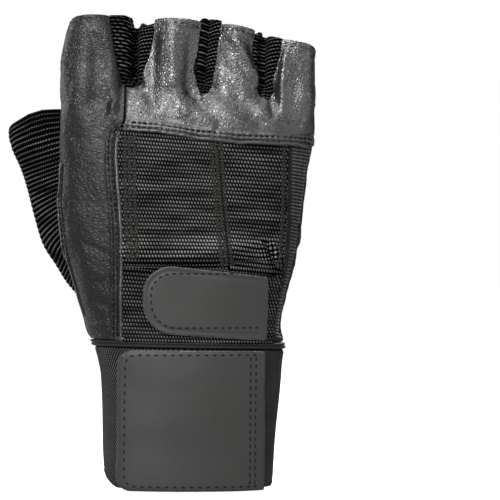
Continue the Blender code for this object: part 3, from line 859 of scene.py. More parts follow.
# the knit strips between the fingers: their top's height and slope, and rows of height, left and right
strips = {
    "indexMiddle": {"node": "fourchette_index_middle", "top": (198.8, 0.0), "rows": [
        (170.0, -26.0, -22.4), (171.8, -27.8, -20.8), (176.0, -29.3, -19.6), (184.0, -31.0, -17.4),
        (215.0, -35.6, -11.6)]},
    "middleRing": {"node": "fourchette_middle_ring", "top": (198.6, -0.04), "rows": [
        (167.4, 5.2, 8.6), (171.6, 4.2, 9.8), (178.0, 3.5, 11.0), (186.0, 4.9, 12.0), (215.0, 7.6, 15.6)]},
    "ringLittle": {"node": "fourchette_ring_little", "top": (194.6, -0.07), "rows": [
        (166.0, 31.4, 34.4), (169.0, 30.2, 35.4), (174.0, 29.3, 36.0), (182.0, 28.6, 38.3),
        (215.0, 28.8, 45.0)]},
}


def stripOutline(rows, grown=0.0):
    outline = [Vector((right, height)) for height, left, right in rows]
    outline += [Vector((left, height)) for height, left, right in reversed(rows)]
    return drawnIn(outline, -grown)


stripHoles = [stripOutline(strip["rows"], -0.25) for strip in strips.values()]
seamGap = 0.12        # between two panels, in millimetres
hemSlope = -0.017     # how much the wrist hem falls towards the little finger

# edges and seams, seen from the back: (across, height); the seam beside the thumb runs down from its top
edgeLines = {
    "indexEdge": [(-27.2, 62.4), (-27.0, 84.0), (-27.0, 108.0), (-28.3, 126.0), (-29.4, 140.0),
                  (-29.2, 147.0), (-28.0, 151.6), (-25.0, 152.0)],
    "knuckleHem": [(-28.0, 151.6), (-24.0, 151.2), (-12.0, 150.2), (6.0, 147.2), (22.0, 145.6),
                   (52.0, 144.9)],
    "crotchSeam": [(-27.6, 152.4), (-26.9, 155.2), (-26.4, 163.0), (-26.0, 170.6)],
    "palmSeam": [(-54.0, 155.8), (-31.0, 155.6), (13.0, 151.6), (53.6, 150.4)],
    "thumbSeam": [(-53.6, 137.0), (-54.0, 122.4), (-53.0, 109.7), (-51.0, 97.0), (-48.0, 86.0),
                  (-44.8, 76.0), (-43.4, 65.0)],
}
edgeLines["thumbPiping"] = besideLine(edgeLines["thumbSeam"], -1.5)


# how far the leather dives at the edges of the knit strips between the fingers, on one side of the hand
def webFall(spots, ways, depth, width, side):
    lines = []
    for strip in strips.values():
        rows = [row for row in strip["rows"] if row[0] < 190] + [strip["rows"][-1]]
        for column in (1, 2):
            lines.append(laidLine([(row[column], row[0]) for row in rows], side))
        lines.append(laidLine([(rows[0][1], rows[0][0]), (rows[0][2], rows[0][0])], side))
    far, along = lineField(lines, spots)
    onSide = easeStep(side * spots[:, 1] / mm, -1.0, 5.0) * np.clip(side * ways[:, 1], 0, 1) ** 2
    return -depth * np.exp(-((far / width) ** 1.5)) * onSide


# an outline's own edge, laid on the hand
def edgeOf(outline, side):
    return laidLine(roundedOutline(outline), side, 0.5, closed=True)


# the lines that a panel's dictionary calls edge, rims and sides, or one of the lines above
def linesOf(key, look):
    if key == "edge":
        return [edgeOf(look["outline"], look["side"])]
    if key == "rims":
        return [rimRing(finger) for finger in look["rims"]]
    if key == "sides":
        return [sideLine(*run) for run in look["sides"]]
    return [laidLine(edgeLines[key], look["side"])]


# A panel of the glove, cut from the form and made a layer. In its dictionary, hems are folded and stitched
# edges: line, rows of stitches, lift and dip. Beads are ridges and grooves: line, distance from it, width,
# height and perhaps how far across they reach. Rumples and creases have size, height, seed and stretch.
def makePanel(name, look):
    outline = drawnIn(roundedOutline(look["outline"]), look.get("gap", 0))
    sheet = formSheet(outline, *look["depth"], look.get("holes", ()), look.get("thumbGap"))
    layer = layerOf(sheet, name, look["low"], look["high"], look["voxel"], look.get("smoothing", 3))
    hems, beads = look.get("hems", []), look.get("beads", [])

    def push(spots, ways):
        across = spots[:, 0] / mm
        fields = {key: lineField(linesOf(key, look), spots) for key in dict.fromkeys(
            seam[0] for seam in hems + beads)}
        lift = np.zeros(len(spots))
        for key, *hemmed in hems:
            lift += hemLift(*fields[key], *hemmed)
        for key, distance, width, height, *limit in beads:
            reached = across < limit[0] if limit else 1
            lift += bead(fields[key][0], distance, width, height) * reached
        if "web" in look:
            lift += webFall(spots, ways, *look["web"], look["side"])
        if "proud" in look:
            height, low, high = look["proud"]
            lift += height * (1 - easeStep(across, low, high)) * easeStep(-spots[:, 1] / mm, 4, 12)
        lift += folds(spots, look["side"], look.get("folds", ()))
        for grain in look["rumples"]:
            lift += rumple(spots, *grain)
        for grain in look.get("creases", ()):
            lift += creases(spots, *grain)
        return lift

    shapeLayer(layer, look["low"], look["high"], push, look.get("follow", 0.6))
    return dress(layer, look["slot"], look["node"], *look["cover"])


# what panels on one side of the hand share: the side, and the depths between which they are cut
backLeather = {
    "slot": "leather", "side": back, "depth": (-beyond, handForm["sideSeam"] - seamGap), "gap": seamGap,
    "holes": stripHoles,
}
palmLeather = dict(backLeather, side=palm, depth=(handForm["sideSeam"] + seamGap, beyond))
patchLeather = {
    "slot": "leather", "side": palm, "depth": (5.6, beyond), "thumbGap": -0.3,
    "cover": (leather, suede, cutEdgeHighlight),
}

indexPanel = {
    "node": "index_side_panel", "cover": (sideLeather, suede), "low": -2.0, "high": 0.2, "voxel": 0.5,
    "thumbGap": 2.0,
    "outline": [(-90, 63.7, 0), (-27.3, 62.7, 0), (-27.0, 108.0, 0), (-29.4, 140.0, 0), (-28.6, 151.2, 0),
                (-26.9, 155.2, 0), (-26.4, 172.0, 0), (-26.4, 230, 0), (-90, 230, 0)],
    "rims": ["index"], "sides": [(-1, 64, 199)],
    "hems": [("indexEdge", (2.6, 4.4), 0.7, 0.75), ("rims", (2.2,), 0.4, 0.6)],
    "beads": [("indexEdge", 1.0, 0.9, 0.25), ("crotchSeam", 0, 1.3, 0.55), ("crotchSeam", 2.6, 0.9, -0.25),
              ("sides", 0.9, 0.8, 0.35), ("sides", 2.4, 0.6, -0.35), ("thumbSeam", 0, 0.55, -0.7),
              ("thumbPiping", 0, 0.9, 0.5)],
    "web": (1.9, 4.2),
    "folds": [((-35.5, 199), (-31.0, 160), 3.0, 2.0, 1.4), ((-40.5, 194), (-39.0, 160), 3.2, -1.1, 0.6),
              ((-33.0, 164), (-28.6, 152), 2.4, 1.2, 0.4), ((-49.5, 190), (-52.0, 160), 2.6, -0.8),
              ((-29.5, 166), (-37.0, 148), 1.8, 0.72), ((-31.0, 98), (-45.0, 104), 1.6, -0.56),
              ((-31.0, 88), (-44.0, 86), 1.8, -0.72), ((-30.0, 76), (-42.0, 80), 1.7, -0.64),
              ((-33.0, 70), (-43.0, 68), 1.4, 0.64)],
    "rumples": [(11.0, 0.8, 3.0), (3.6, 0.1, 5.0)], "creases": [(6.0, 0.14, 8.0, (1, 1, 1.5))],
}
knucklePanel = {
    "node": "knuckle_panel", "cover": (leather, suede), "low": -2.0, "high": 0.35, "voxel": 0.43,
    "outline": [(-28.6, 151.2, 2.2), (-12.0, 150.2, 0), (6.0, 147.2, 0), (22.0, 145.6, 0), (90, 144.6, 0),
                (90, 230, 0), (-26.4, 230, 0), (-26.4, 172.0, 0), (-26.9, 155.2, 0)],
    "rims": ["middle", "ring", "little"],
    "hems": [("knuckleHem", (1.5, 3.6), 1.1, 1.1), ("rims", (2.2,), 0.4, 0.6)],
    "beads": [("knuckleHem", 0.6, 0.7, 0.3), ("crotchSeam", 0, 0.9, -0.6)],
    "web": (2.0, 4.6),
    "folds": [
        ((-6.5, 199), (-6.0, 170), 3.4, 1.7), ((-6.2, 177), (-1.0, 157), 3.0, 1.6, -0.8),
        ((-15.0, 196), (-15.0, 158), 3.2, -1.5), ((1.8, 196), (0.5, 166), 2.8, -1.7),
        ((-1.0, 172), (8.0, 160), 2.4, -1.3, 0.6), ((-3.0, 161), (12.0, 152.5), 3.0, 1.3, 1.0),
        ((-22.5, 174), (-12.0, 160), 2.0, -0.8), ((-20.5, 184), (-18.0, 168), 1.5, 0.7),
        ((18.5, 193), (30.5, 170), 2.3, 2.1, 1.0), ((13.0, 186), (21.0, 168), 3.2, -1.0, -0.6),
        ((27.0, 192), (29.0, 178), 2.4, -1.3), ((14.0, 172), (30.0, 159), 2.6, -1.1, 0.5),
        ((6.0, 167), (28.0, 151), 3.4, 1.3), ((22.0, 166), (40.0, 153), 3.2, 1.3),
        ((41.8, 188), (40.0, 158), 1.9, 1.8, -0.6), ((47.0, 186), (45.5, 154), 3.4, -1.2),
        ((35.0, 172), (36.6, 156), 1.6, -0.9), ((24.0, 158), (42.0, 151), 1.6, -0.5),
        ((-14.0, 157), (4.0, 153), 1.8, -0.6)],
    "rumples": [(10.0, 0.7, 13.0), (3.2, 0.06, 15.0, (1, 1, 1.2))],
    "creases": [(6.5, 0.08, 18.0, (1.3, 1, 1))],
}

indexPiece = makePanel("indexSidePanel", {**backLeather, **indexPanel})
knucklePiece = makePanel("knucklePanel", {**backLeather, **knucklePanel})
print("back leather made")


# the leather of the palm and of the palm side of the stalls
palmPanel = {
    "node": "palm_leather", "cover": (sideLeather, suede), "low": -2.0, "high": 0.2, "voxel": 0.75,
    "holes": (), "thumbGap": 2.0,
    "outline": [(-90, 63.7, 0), (90, 60.7, 0), (90, 150.4, 0), (13.0, 151.6, 0), (-31.0, 155.6, 0),
                (-90, 155.8, 0)],
    "sides": [(-1, 64, 155), (1, 64, 150)],
    "hems": [("palmSeam", (1.6,), 0.1, 0.35), ("sides", (1.7,), 0.25, 0.3)],
    "folds": [((-44, 70), (-34, 96), 3.0, 0.5, 2.0), ((-12, 70), (-14, 92), 3.2, -0.6),
              ((10, 76), (34, 80), 3.2, 0.35, 1.0), ((0, 68), (40, 70), 2.6, -0.4)],
    "rumples": [(10.0, 0.6, 33.0), (3.2, 0.16, 35.0)], "creases": [(6.5, 0.2, 38.0)],
}
fingerPanel = {
    "node": "finger_leather", "cover": (leather, suede), "low": -2.0, "high": 0.2, "voxel": 0.6,
    "outline": [(-90, 155.8, 0), (-31.0, 155.6, 0), (13.0, 151.6, 0), (90, 150.4, 0), (90, 230, 0),
                (-90, 230, 0)],
    "rims": fingers, "sides": [(-1, 156, 199), (1, 150, 188)],
    "hems": [("palmSeam", (1.5, 3.6), 0.45, 0.4), ("rims", (2.2,), 0.4, 0.6), ("sides", (1.7,), 0.2, 0.3)],
    "folds": [((-43.0, 162), (-41.0, 186), 3.0, -0.55, 1.0), ((-11.0, 160), (-9.0, 184), 3.0, -0.55, 1.0),
              ((18.0, 160), (20.0, 182), 3.0, -0.55, 1.0), ((40.0, 158), (42.0, 178), 3.0, -0.55, 1.0)],
    "rumples": [(8.0, 0.5, 43.0), (2.8, 0.18, 45.0)], "creases": [(5.0, 0.2, 48.0)],
}

makePanel("palmPanel", {**palmLeather, **palmPanel})
fingerPiece = makePanel("fingerPanel", {**palmLeather, **fingerPanel})
print("palm leather made")


# the second layer of leather under the index finger, and the patch round the base of the thumb
overlayPatch = {
    "node": "palm_overlay", "low": 0.25, "high": 1.5, "voxel": 0.6,
    "outline": [(-13.5, 93.6, 0), (-7.3, 93.4, 0), (-7.3, 152.6, 0), (-31.0, 154.8, 3), (-47.0, 152.0, 4),
                (-44.0, 137.0, 6), (-14.5, 126.4, 8), (-11.8, 112.0, 6)],
    "hems": [("edge", (1.8,), 0.15, 0.35)],
    "folds": [((-18, 128), (-24, 150), 3.0, 0.5, 1.0), ((-38, 136), (-36, 152), 2.4, -0.5)],
    "rumples": [(7.0, 0.45, 53.0)], "creases": [(4.5, 0.2, 55.0)],
}
thumbPatch = {
    "node": "thumb_patch", "low": 0.25, "high": 1.5, "voxel": 0.55,
    "outline": [(-22.5, 72.0, 4), (-17.2, 92.5, 0), (-13.6, 112.0, 6), (-16.0, 123.6, 6), (-34.0, 129.6, 3),
                (-36.6, 118.6, 0), (-30.2, 108.0, 1.5), (-38.0, 99.0, 3), (-34.0, 82.0, 5)],
    "hems": [("edge", (1.8,), 0.15, 0.35)],
    "folds": [((-32, 112), (-20, 106), 1.8, 0.5), ((-32, 118), (-18, 120), 2.0, -0.5)],
    "rumples": [(5.0, 0.5, 63.0)], "creases": [(3.6, 0.25, 65.0)],
}

overlayPiece = makePanel("overlayPatch", {**patchLeather, **overlayPatch})
thumbPatchPiece = makePanel("thumbBasePatch", {**patchLeather, **thumbPatch})
print("palm patches made")


# whether places on the palm lie inside an outline
def insideOf(outline, spots):
    places = spots[:, [0, 2]] / mm
    crossings = np.zeros(len(places), int)
    for here, after in zip(outline, outline[1:] + outline[:1]):
        low, high = sorted((here, after), key=lambda spot: spot.y)
        if high.y - low.y > 1e-6:
            share = (places[:, 1] - low.y) / (high.y - low.y)
            crossings += (share >= 0) & (share < 1) & (places[:, 0] < low.x + (high.x - low.x) * share)
    return crossings % 2 == 1


# the padded panel with its crossed rows of quilting
padPanel = {
    "outline": [(-6.7, 93.4, 3), (40.0, 91.6, 8), (46.6, 104.0, 6), (49.2, 149.7, 3), (13.0, 150.8, 0),
                (-6.7, 152.6, 2)],
    "grooves": [[(-3.0, 149.4), (44.6, 96.4)], [(46.6, 147.0), (-4.5, 95.5)]],
    "low": 0.25, "high": 2.1, "voxel": 0.6, "swell": 2.1, "hem": 2.6, "ridge": 0.8, "fill": 0.6,
    # the cover as cloth
    "cell": 1.7, "margin": 2.0, "pressure": 4.0, "frames": 20, "cap": 6.0, "grow": -0.05,
    "stiffness": 6.0, "bending": 0.2, "held": 1.2,
}


# the pad's cover as cloth, held at its hem and quilting and swollen by pressure: where it goes and how far
def swellCover(look):
    outline = roundedOutline(look["outline"])
    low = [min(spot[axis] for spot in outline) - look["margin"] for axis in (0, 1)]
    high = [max(spot[axis] for spot in outline) + look["margin"] for axis in (0, 1)]
    bm = bmesh.new()
    bmesh.ops.create_grid(bm, x_segments=round((high[0] - low[0]) / look["cell"]),
                          y_segments=round((high[1] - low[1]) / look["cell"]), size=0.5)
    ways = []
    for vert in bm.verts:
        across = low[0] + (vert.co.x + 0.5) * (high[0] - low[0])
        height = low[1] + (vert.co.y + 0.5) * (high[1] - low[1])
        vert.co, way = castOn(formTree, across, height, palm, look["high"])
        ways.append(way)
    cover = newPiece(bm, "padCover")
    rest = pointsOf(cover.data)
    edge, along = lineField([edgeOf(look["outline"], palm)], rest)
    seam, along = lineField([laidLine(line, palm) for line in look["grooves"]], rest)
    held = cover.vertex_groups.new(name="held")
    pinned = np.nonzero(~insideOf(outline, rest) | (edge < look["hem"]) | (seam < look["held"]))[0]
    held.add([int(index) for index in pinned], 1.0, "REPLACE")
    cloth = cover.modifiers.new("swell", "CLOTH")
    settings = cloth.settings
    settings.vertex_group_mass = "held"
    settings.use_pressure = True
    settings.uniform_pressure_force = look["pressure"]
    settings.effector_weights.gravity = 0
    settings.shrink_min = look["grow"]
    settings.tension_stiffness = settings.compression_stiffness = look["stiffness"]
    settings.bending_stiffness = look["bending"]
    cloth.point_cache.frame_start, cloth.point_cache.frame_end = 1, look["frames"]
    for frameNumber in range(1, look["frames"] + 1):
        bpy.context.scene.frame_set(frameNumber)
    keepModifiers(cover)
    rise = ((pointsOf(cover.data) - rest) * np.array(ways)).sum(axis=1) / mm
    print("pad cover swollen by", round(float(np.abs(rise).max()), 2), "mm")
    discard(cover)
    bpy.context.scene.frame_set(1)
    rise = np.clip(rise * math.copysign(1, rise[np.argmax(np.abs(rise))]), 0, look["cap"])
    return rest, rise * look["swell"] / max(np.percentile(rise, 98), 1e-6)


# the cover's rise at each point, from the nearest places of the cloth
def riseAt(spots, rest, rise):
    cover = treeOfPoints(rest)
    swell = np.empty(len(spots))
    for row, spot in enumerate(spots):
        near = cover.find_n(Vector(spot), 5)
        shares = np.array([1 / (distance + 2e-4) ** 2 for found, index, distance in near])
        swell[row] = shares @ rise[[index for found, index, distance in near]] / shares.sum()
    return swell


def makePad(look):
    sheet = formSheet(roundedOutline(look["outline"]), 5.6, beyond)
    layer = layerOf(sheet, "quiltedPad", look["low"], look["high"], look["voxel"])
    rest, rise = swellCover(look)

    def push(spots, ways):
        far, along = lineField([edgeOf(look["outline"], palm)], spots)
        inside = easeStep(far, look["hem"] - 0.6, look["hem"] + 4.5)
        if rise is None:
            off, along = lineField([laidLine(line, palm) for line in look["grooves"]], spots)
            swell = look["swell"] * inside * easeStep(off, 0.2, 5.5)
        else:
            swell = riseAt(spots, rest, rise)
        off, along = lineField([laidLine(look["grooves"][1], palm)], spots)
        seams = bead(off, 1.4, 0.6, look["ridge"]) * inside + bead(far, look["hem"], 0.6, -0.45)
        return swell + seams + rumple(spots, 8.0, 0.4, 73.0) + creases(spots, 5.0, 0.15, 75.0)

    shapeLayer(layer, look["low"], look["high"], push, 0.0)
    return dress(layer, "leather", "palm_pad", leather, suede)


padPiece = makePad(padPanel)
print("pad made")


# the smooth synthetic flap of the wrist wrap and the closing tab; each stands proud at its free end
wrapCloth = {
    "slot": "synthetic", "side": back, "depth": (-beyond, 0), "smoothing": 2, "follow": 1.0,
    "low": 0.3, "high": 2.2, "cover": (synthetic, lining, cutEdgeHighlight, 1.2),
}
cuffWrap = {
    "node": "cuff_flap", "voxel": 0.7, "proud": (0.9, -29.0, -17.0),
    "outline": [(-28.9, -0.9, 5.5), (31.2, -0.9, 0.8), (31.9, 58.0, 0.8), (-28.2, 58.6, 5.5)],
    "beads": [("edge", 2.0, 0.55, -0.22, 29.0), ("edge", 0, 0.5, -0.25)],
    "folds": [((-22, 44), (16, 52), 9.0, 0.35), ((-24, 20), (26, 14), 8.0, -0.3)],
    "rumples": [(22.0, 0.5, 83.0)],
}
closingTab = {
    "node": "strap_tab", "voxel": 0.5, "proud": (0.8, -20.0, 6.0),
    "outline": [(-17.6, 65.9, 13.0), (32.4, 62.2, 0.8), (33.4, 89.4, 0.8), (-19.0, 95.3, 11.5)],
    "beads": [("edge", 3.0, 0.55, -0.3, 30.0), ("edge", 0, 0.5, -0.3)],
    "rumples": [(16.0, 0.4, 93.0)],
}

wrapPiece = makePanel("wristFlap", {**wrapCloth, **cuffWrap})
tabPiece = makePanel("closingTab", {**wrapCloth, **closingTab})
print("flap and tab made")


# a tube with a wall: an outer and an inner skin, joined at both ends, moved onto a form; the depths are
# a function of height, angle and skin that gives how far in each point lies, in millimetres
def tubeWall(name, rows, low, high, segments, rings, depths, around, up, leaning=None):
    bm = bmesh.new()
    for radius in (1.0, 0.5):
        bmesh.ops.create_cone(bm, cap_ends=False, segments=segments, radius1=radius, radius2=radius, depth=1)
    cutIntoRings(bm, rings)
    for end in (-0.5, 0.5):
        pair = [edge for edge in bm.edges if all(abs(vert.co.z - end) < 1e-4 for vert in edge.verts)]
        bmesh.ops.bridge_loops(bm, edges=pair)
    bmesh.ops.recalc_face_normals(bm, faces=bm.faces)
    unit = np.array([vert.co for vert in bm.verts])
    heights = low + (unit[:, 2] + 0.5) * (high - low)
    angles = np.arctan2(unit[:, 1], unit[:, 0]) % (2 * np.pi)
    inner = np.hypot(unit[:, 0], unit[:, 1]) < 0.75
    offsets = depths(heights, angles, inner)
    spots = formPoints(rows, heights, angles, offsets)
    for vert, spot in zip(bm.verts, spots):
        vert.co = spot
    piece = newPiece(bm, name)
    shift = leaning(heights, angles) if leaning else 0.0
    flat = np.stack([angles / (2 * np.pi) * around, (heights + shift) * up], axis=-1)
    setUv(piece, lambda points: flat, around)
    return piece


# the wide elastic cuff and the bound seam above it
cuff = {
    "low": 0.0, "high": 58.9, "wall": 2.0, "segments": 200, "rings": 100, "around": 230.35, "edge": 1.3,
    "corner": 5.0,
}
hem = {
    "low": 59.3, "high": 62.0, "segments": 220, "rings": 14, "inner": 1.9, "proud": 0.75, "split": 0.5,
}


def slopeOver(piece, low, high):
    spots = pointsOf(piece.data)
    share = easeStep(spots[:, 2] / mm, low, high)
    spots[:, 2] += hemSlope * spots[:, 0] * share
    setPoints(piece.data, spots)


def makeCuff(look):
    low, high = look["low"], look["high"]

    def depths(heights, angles, inner):
        ends = np.minimum(heights - low, high - heights)
        rounding = 0.55 * (1 - easeStep(ends, 0.0, look["edge"]))
        waves = 0.25 * np.sin(angles * 5 + heights / 14) * np.sin(heights / 9 + angles * 2)
        line = 0.22 * np.exp(-(((heights - low - 3.0) / 0.5) ** 2))
        return np.where(inner, look["wall"] - rounding * 0.4, rounding + waves * 0.6 + line)

    wall = tubeWall("elasticCuff", handForm["hand"], low, high, look["segments"], look["rings"], depths,
                    look["around"], 1.0)
    slopeOver(wall, 30.0, high)
    spots = pointsOf(wall.data)
    corner = np.clip((-29.5 - spots[:, 0] / mm) / 6.5, 0, 1) ** 1.6
    spots[:, 2] += look["corner"] * corner * (1 - easeStep(spots[:, 2] / mm, 0.0, 22.0)) * mm
    setPoints(wall.data, spots)
    return dress(wall, "elastic", "cuff_band", twill, lining)


def makeHem(look):
    low, high = look["low"], look["high"]
    middle = low + (high - low) * look["split"]

    def depths(heights, angles, inner):
        rising, falling = (heights - low) / (middle - low), (high - heights) / (high - middle)
        roll = np.where(heights < middle, rising, falling)
        bulge = look["proud"] * np.sqrt(np.clip(np.sin(np.pi * np.clip(roll, 0, 1)), 0, 1))
        pucker = 0.22 * np.sin(angles * 67) * np.sin(angles * 11 + 1.0)
        return np.where(inner, look["inner"], 0.1 - bulge * (1 + pucker))

    wall = tubeWall("wristBinding", handForm["hand"], low, high, look["segments"], look["rings"], depths,
                    look["segments"], 1.0)
    slopeOver(wall, -100.0, -99.0)
    return dress(wall, "elastic", "wrist_hem", binding, lining)


makeCuff(cuff)
makeHem(hem)
print("cuff made")


# the knit tube of the thumb
thumbTube = {
    "low": 82.0, "high": 157.4, "wall": 1.5, "segments": 150, "rings": 190, "loops": 96, "ribPitch": 1.7,
    "ribHeight": 0.4, "sink": 0.9, "lean": 9.0,
    "crown": [(-16, 0.6), (-12.5, 2.6), (-6, 4.4), (0, 4.2), (6, 2.6), (11, 1.0), (15, 0)],
}


def makeThumb(look):
    low, high = look["low"], look["high"]

    def leaning(heights, angles):
        return -look["lean"] * np.cos(angles) * (1 - easeStep(heights, 88.0, 140.0))

    def depths(heights, angles, inner):
        ends = high - heights
        hemmed = 1 - easeStep(ends, 6.5, 7.5)
        turned = heights + leaning(heights, angles)
        ribs = look["ribHeight"] * np.abs(np.sin(np.pi * turned / look["ribPitch"])) ** 0.8
        rounding = 0.5 * (1 - easeStep(ends, 0.0, 0.9))
        line = 0.3 * np.exp(-(((ends - 6.8) / 0.5) ** 2))
        sway = 0.35 * np.sin(angles * 3 + heights / 7)
        outer = look["ribHeight"] - ribs * (1 - 0.35 * hemmed) + rounding + line + sway * 0.5
        return np.where(inner, look["wall"] + 0.2 - rounding * 0.5, outer)

    wall = tubeWall("thumbStall", handForm["thumb"], low, high, look["segments"], look["rings"], depths,
                    look["loops"], 1 / look["ribPitch"], leaning)
    spots = pointsOf(wall.data)
    centre, way = rimPlane(handForm["thumb"])
    below = (np.array(centre) - spots) @ np.array(way) / mm
    across = (spots - np.array(centre)) @ np.array((way.z, 0, -way.x)) / mm
    spots[:, 2] += np.interp(across, *np.array(look["crown"]).T) * (1 - easeStep(below, 0.0, 18.0)) * mm
    outward = easeStep(-across, 2.0, 14.0)
    heights = spots[:, 2] / mm
    slimmer = 1.2 * np.exp(-(((heights - 95) / 6.5) ** 2)) - 2.4 * np.exp(-(((heights - 148) / 9) ** 2))
    spots[:, 0] += slimmer * outward * mm
    setPoints(wall.data, spots)
    inside = bpy.data.objects.new("inside", form.data.copy())
    bpy.context.scene.collection.objects.link(inside)
    spots = pointsOf(inside.data)
    normals = np.empty(len(inside.data.vertices) * 3, np.float32)
    inside.data.vertices.foreach_get("normal", normals)
    setPoints(inside.data, spots - normals.reshape(-1, 3) * look["sink"] * mm)
    inTriangles(wall)
    cutWith(wall, inside, "DIFFERENCE")
    return dress(wall, "knit", "thumb_stall", knits["rib"])


makeThumb(thumbTube)
print("thumb made")


# the knit strips between the fingers
fourchette = {
    "low": -1.8, "high": -0.35, "voxel": 0.42, "ribPitch": 1.6, "loopPitch": 1.2, "ribHeight": 0.45,
    "arch": 0.45, "grown": 0.15, "crownDepth": 14,
    "crowns": {    # how much higher the top stands, at places across the hand
        "indexMiddle": [(-32, 2.3), (-27, 2.2), (-24.5, 1.4), (-23, 1.9), (-21, 1.0), (-18, -1.9),
                        (-15, -1.0)],
        "middleRing": [(6.4, 0.4), (7.2, 1.7), (9.8, 3.0), (13.6, 1.4)],
        "ringLittle": [(29.0, 0.5), (32.0, 2.1), (40.0, 0.2)],
    },
    "slits": {
        "indexMiddle": [((-22.8, 201), (-22.4, 170), 1.1, -4.2), ((-27.8, 203), (-26.5, 170), 2.6, 2.0),
                        ((-19.0, 200), (-20.4, 171), 1.6, 0.9)],
        "middleRing": [((4.6, 201), (5.0, 168), 0.9, -2.2), ((10.5, 203), (8.0, 167), 2.4, 1.5)],
        "ringLittle": [((31.0, 196), (31.0, 165), 0.9, -1.8), ((36.0, 195), (33.4, 168), 2.4, 1.2)],
    },
}


def makeFourchette(key, look):
    strip = strips[key]
    sheet = formSheet(stripOutline(strip["rows"], look["grown"]), -beyond, beyond)
    topHeight, topSlope = strip["top"]
    bm = bmesh.new()
    bm.from_mesh(sheet.data)
    everything = list(bm.verts) + list(bm.edges) + list(bm.faces)
    topWay = Vector((-topSlope, 0, 1)).normalized()
    bmesh.ops.bisect_plane(
        bm, geom=everything, plane_co=(0, 0, topHeight * mm), plane_no=topWay, clear_outer=True)
    crown = np.array(look["crowns"][key]).T
    for vert in bm.verts:
        share = easeStep(vert.co.z / mm, topHeight - look["crownDepth"], topHeight - 1)
        vert.co.z += np.interp(vert.co.x / mm, *crown) * share * mm
    bm.to_mesh(sheet.data)
    bm.free()
    layer = layerOf(sheet, key + "Web", look["low"], look["high"], look["voxel"], 2)

    def ribsOf(spots):
        return (spots[:, 2] + spots[:, 1] * look["arch"]) / mm / look["ribPitch"]

    def push(spots, ways):
        lift = look["ribHeight"] * (np.abs(np.sin(np.pi * ribsOf(spots))) - 0.5)
        lift += webFall(spots, ways, 1.9, 1.7, back)
        return lift + folds(spots, back, look["slits"][key])

    places = pointsOf(layer.data)
    shapeLayer(layer, look["low"], look["high"], push, 0.2)
    across = (places[:, 0] * 0.8 - places[:, 1] * 0.6) / mm / look["loopPitch"]
    flat = np.stack([across, ribsOf(places)], axis=-1)
    setUv(layer, lambda spots: flat)
    return dress(layer, "knit", strip["node"], knits["rib"])


for key in strips:
    makeFourchette(key, fourchette)
print("strips between the fingers made")


# the knit panels of the back, each a grid between its left and right edges: (across, height) upwards
backKnits = {
    "left": {"node": "back_mesh_left", "name": "backKnitLeft", "knit": "mesh", "folds": [
                 ((-30, 100), (18, 99), 4.0, 1.3), ((-30, 94.0), (20, 92.5), 2.2, -2.6)],
             "left": [(-28.6, 92.6), (-28.4, 108.0), (-30.6, 140.0), (-30.4, 153.0)],
             "right": [(17.5, 92.6), (15.0, 118.0), (12.0, 149.2)]},
    "right": {"node": "back_mesh_right", "name": "backKnitRight", "knit": "mesh", "folds": [
                  ((12, 99.5), (40, 104), 2.6, 1.1), ((32.0, 104.5), (37.5, 93.0), 1.7, -3.2),
                  ((35.0, 103.0), (41.5, 94.0), 1.2, 1.6), ((14, 95.5), (34, 96.5), 1.6, -1.2)],
              "left": [(18.1, 92.6), (15.6, 118.0), (12.6, 149.2)],
              "right": [(40.3, 90.4), (41.6, 110.0), (42.6, 147.6)]},
    "lower": {"node": "back_mesh_lower", "name": "backKnitLower", "knit": "coarse", "folds": [
                  ((-30, 94.0), (20, 92.5), 2.2, -2.6), ((33.0, 100.0), (36.5, 86.0), 1.8, -1.6)],
              "left": [(-28.8, 62.2), (-28.6, 96.8)],
              "right": [(35.8, 61.0), (36.4, 72.0), (40.2, 90.2)]},
}
backKnit = {
    "lift": -0.45, "wall": 1.1, "rowPitch": 1.66, "dotPitch": 1.25, "relief": 0.5, "cellsPerRow": 6,
    "cellWidth": 0.75,
}


def alongLine(points, share):
    lengths = [math.dist(here, after) for here, after in zip(points, points[1:])]
    wanted = share * sum(lengths)
    for spot, length in enumerate(lengths):
        if wanted <= length or spot == len(lengths) - 1:
            return Vector(points[spot]).lerp(Vector(points[spot + 1]), wanted / length)
        wanted -= length


def makeBackKnit(panel, look):
    tall = math.dist(panel["left"][0], panel["left"][-1])
    wide = sum(math.dist(panel["left"][end], panel["right"][end]) for end in (0, -1)) / 2
    rows = round(tall / look["rowPitch"])
    dotsAcross = round(wide / look["dotPitch"])
    bm = bmesh.new()
    bmesh.ops.create_grid(bm, x_segments=round(wide / look["cellWidth"]),
                          y_segments=rows * look["cellsPerRow"], size=0.5)
    flat = []
    for vert in bm.verts:
        u, v = vert.co.x + 0.5, vert.co.y + 0.5
        flat.append((u * dotsAcross, v * rows))
        place = alongLine(panel["left"], v).lerp(alongLine(panel["right"], v), u)
        ridge = look["relief"] * (abs(math.sin(math.pi * v * rows)) ** 0.7 - 0.6)
        sway = 0.5 * noise.noise(Vector((place.x / 11, place.y / 7, 0.5)))
        vert.co, way = castOn(formTree, place.x, place.y, back, look["lift"] + ridge + sway)
    spots = np.array([vert.co for vert in bm.verts])
    drift = folds(spots, back, panel["folds"])
    for vert, spot, push in zip(bm.verts, spots, drift):
        vert.co = Vector(spot) + Vector((0, back * push * mm, 0))
    bmesh.ops.reverse_faces(bm, faces=bm.faces)
    piece = newPiece(bm, panel["name"])
    flat = np.array(flat)
    setUv(piece, lambda spots: flat)
    solid = piece.modifiers.new("thickness", "SOLIDIFY")
    solid.thickness = look["wall"] * mm
    solid.offset = -1
    keepModifiers(piece)
    return dress(piece, "knit", panel["node"], knits[panel["knit"]])


backPieces = [makeBackKnit(panel, backKnit) for panel in backKnits.values()]
print("back knit made")


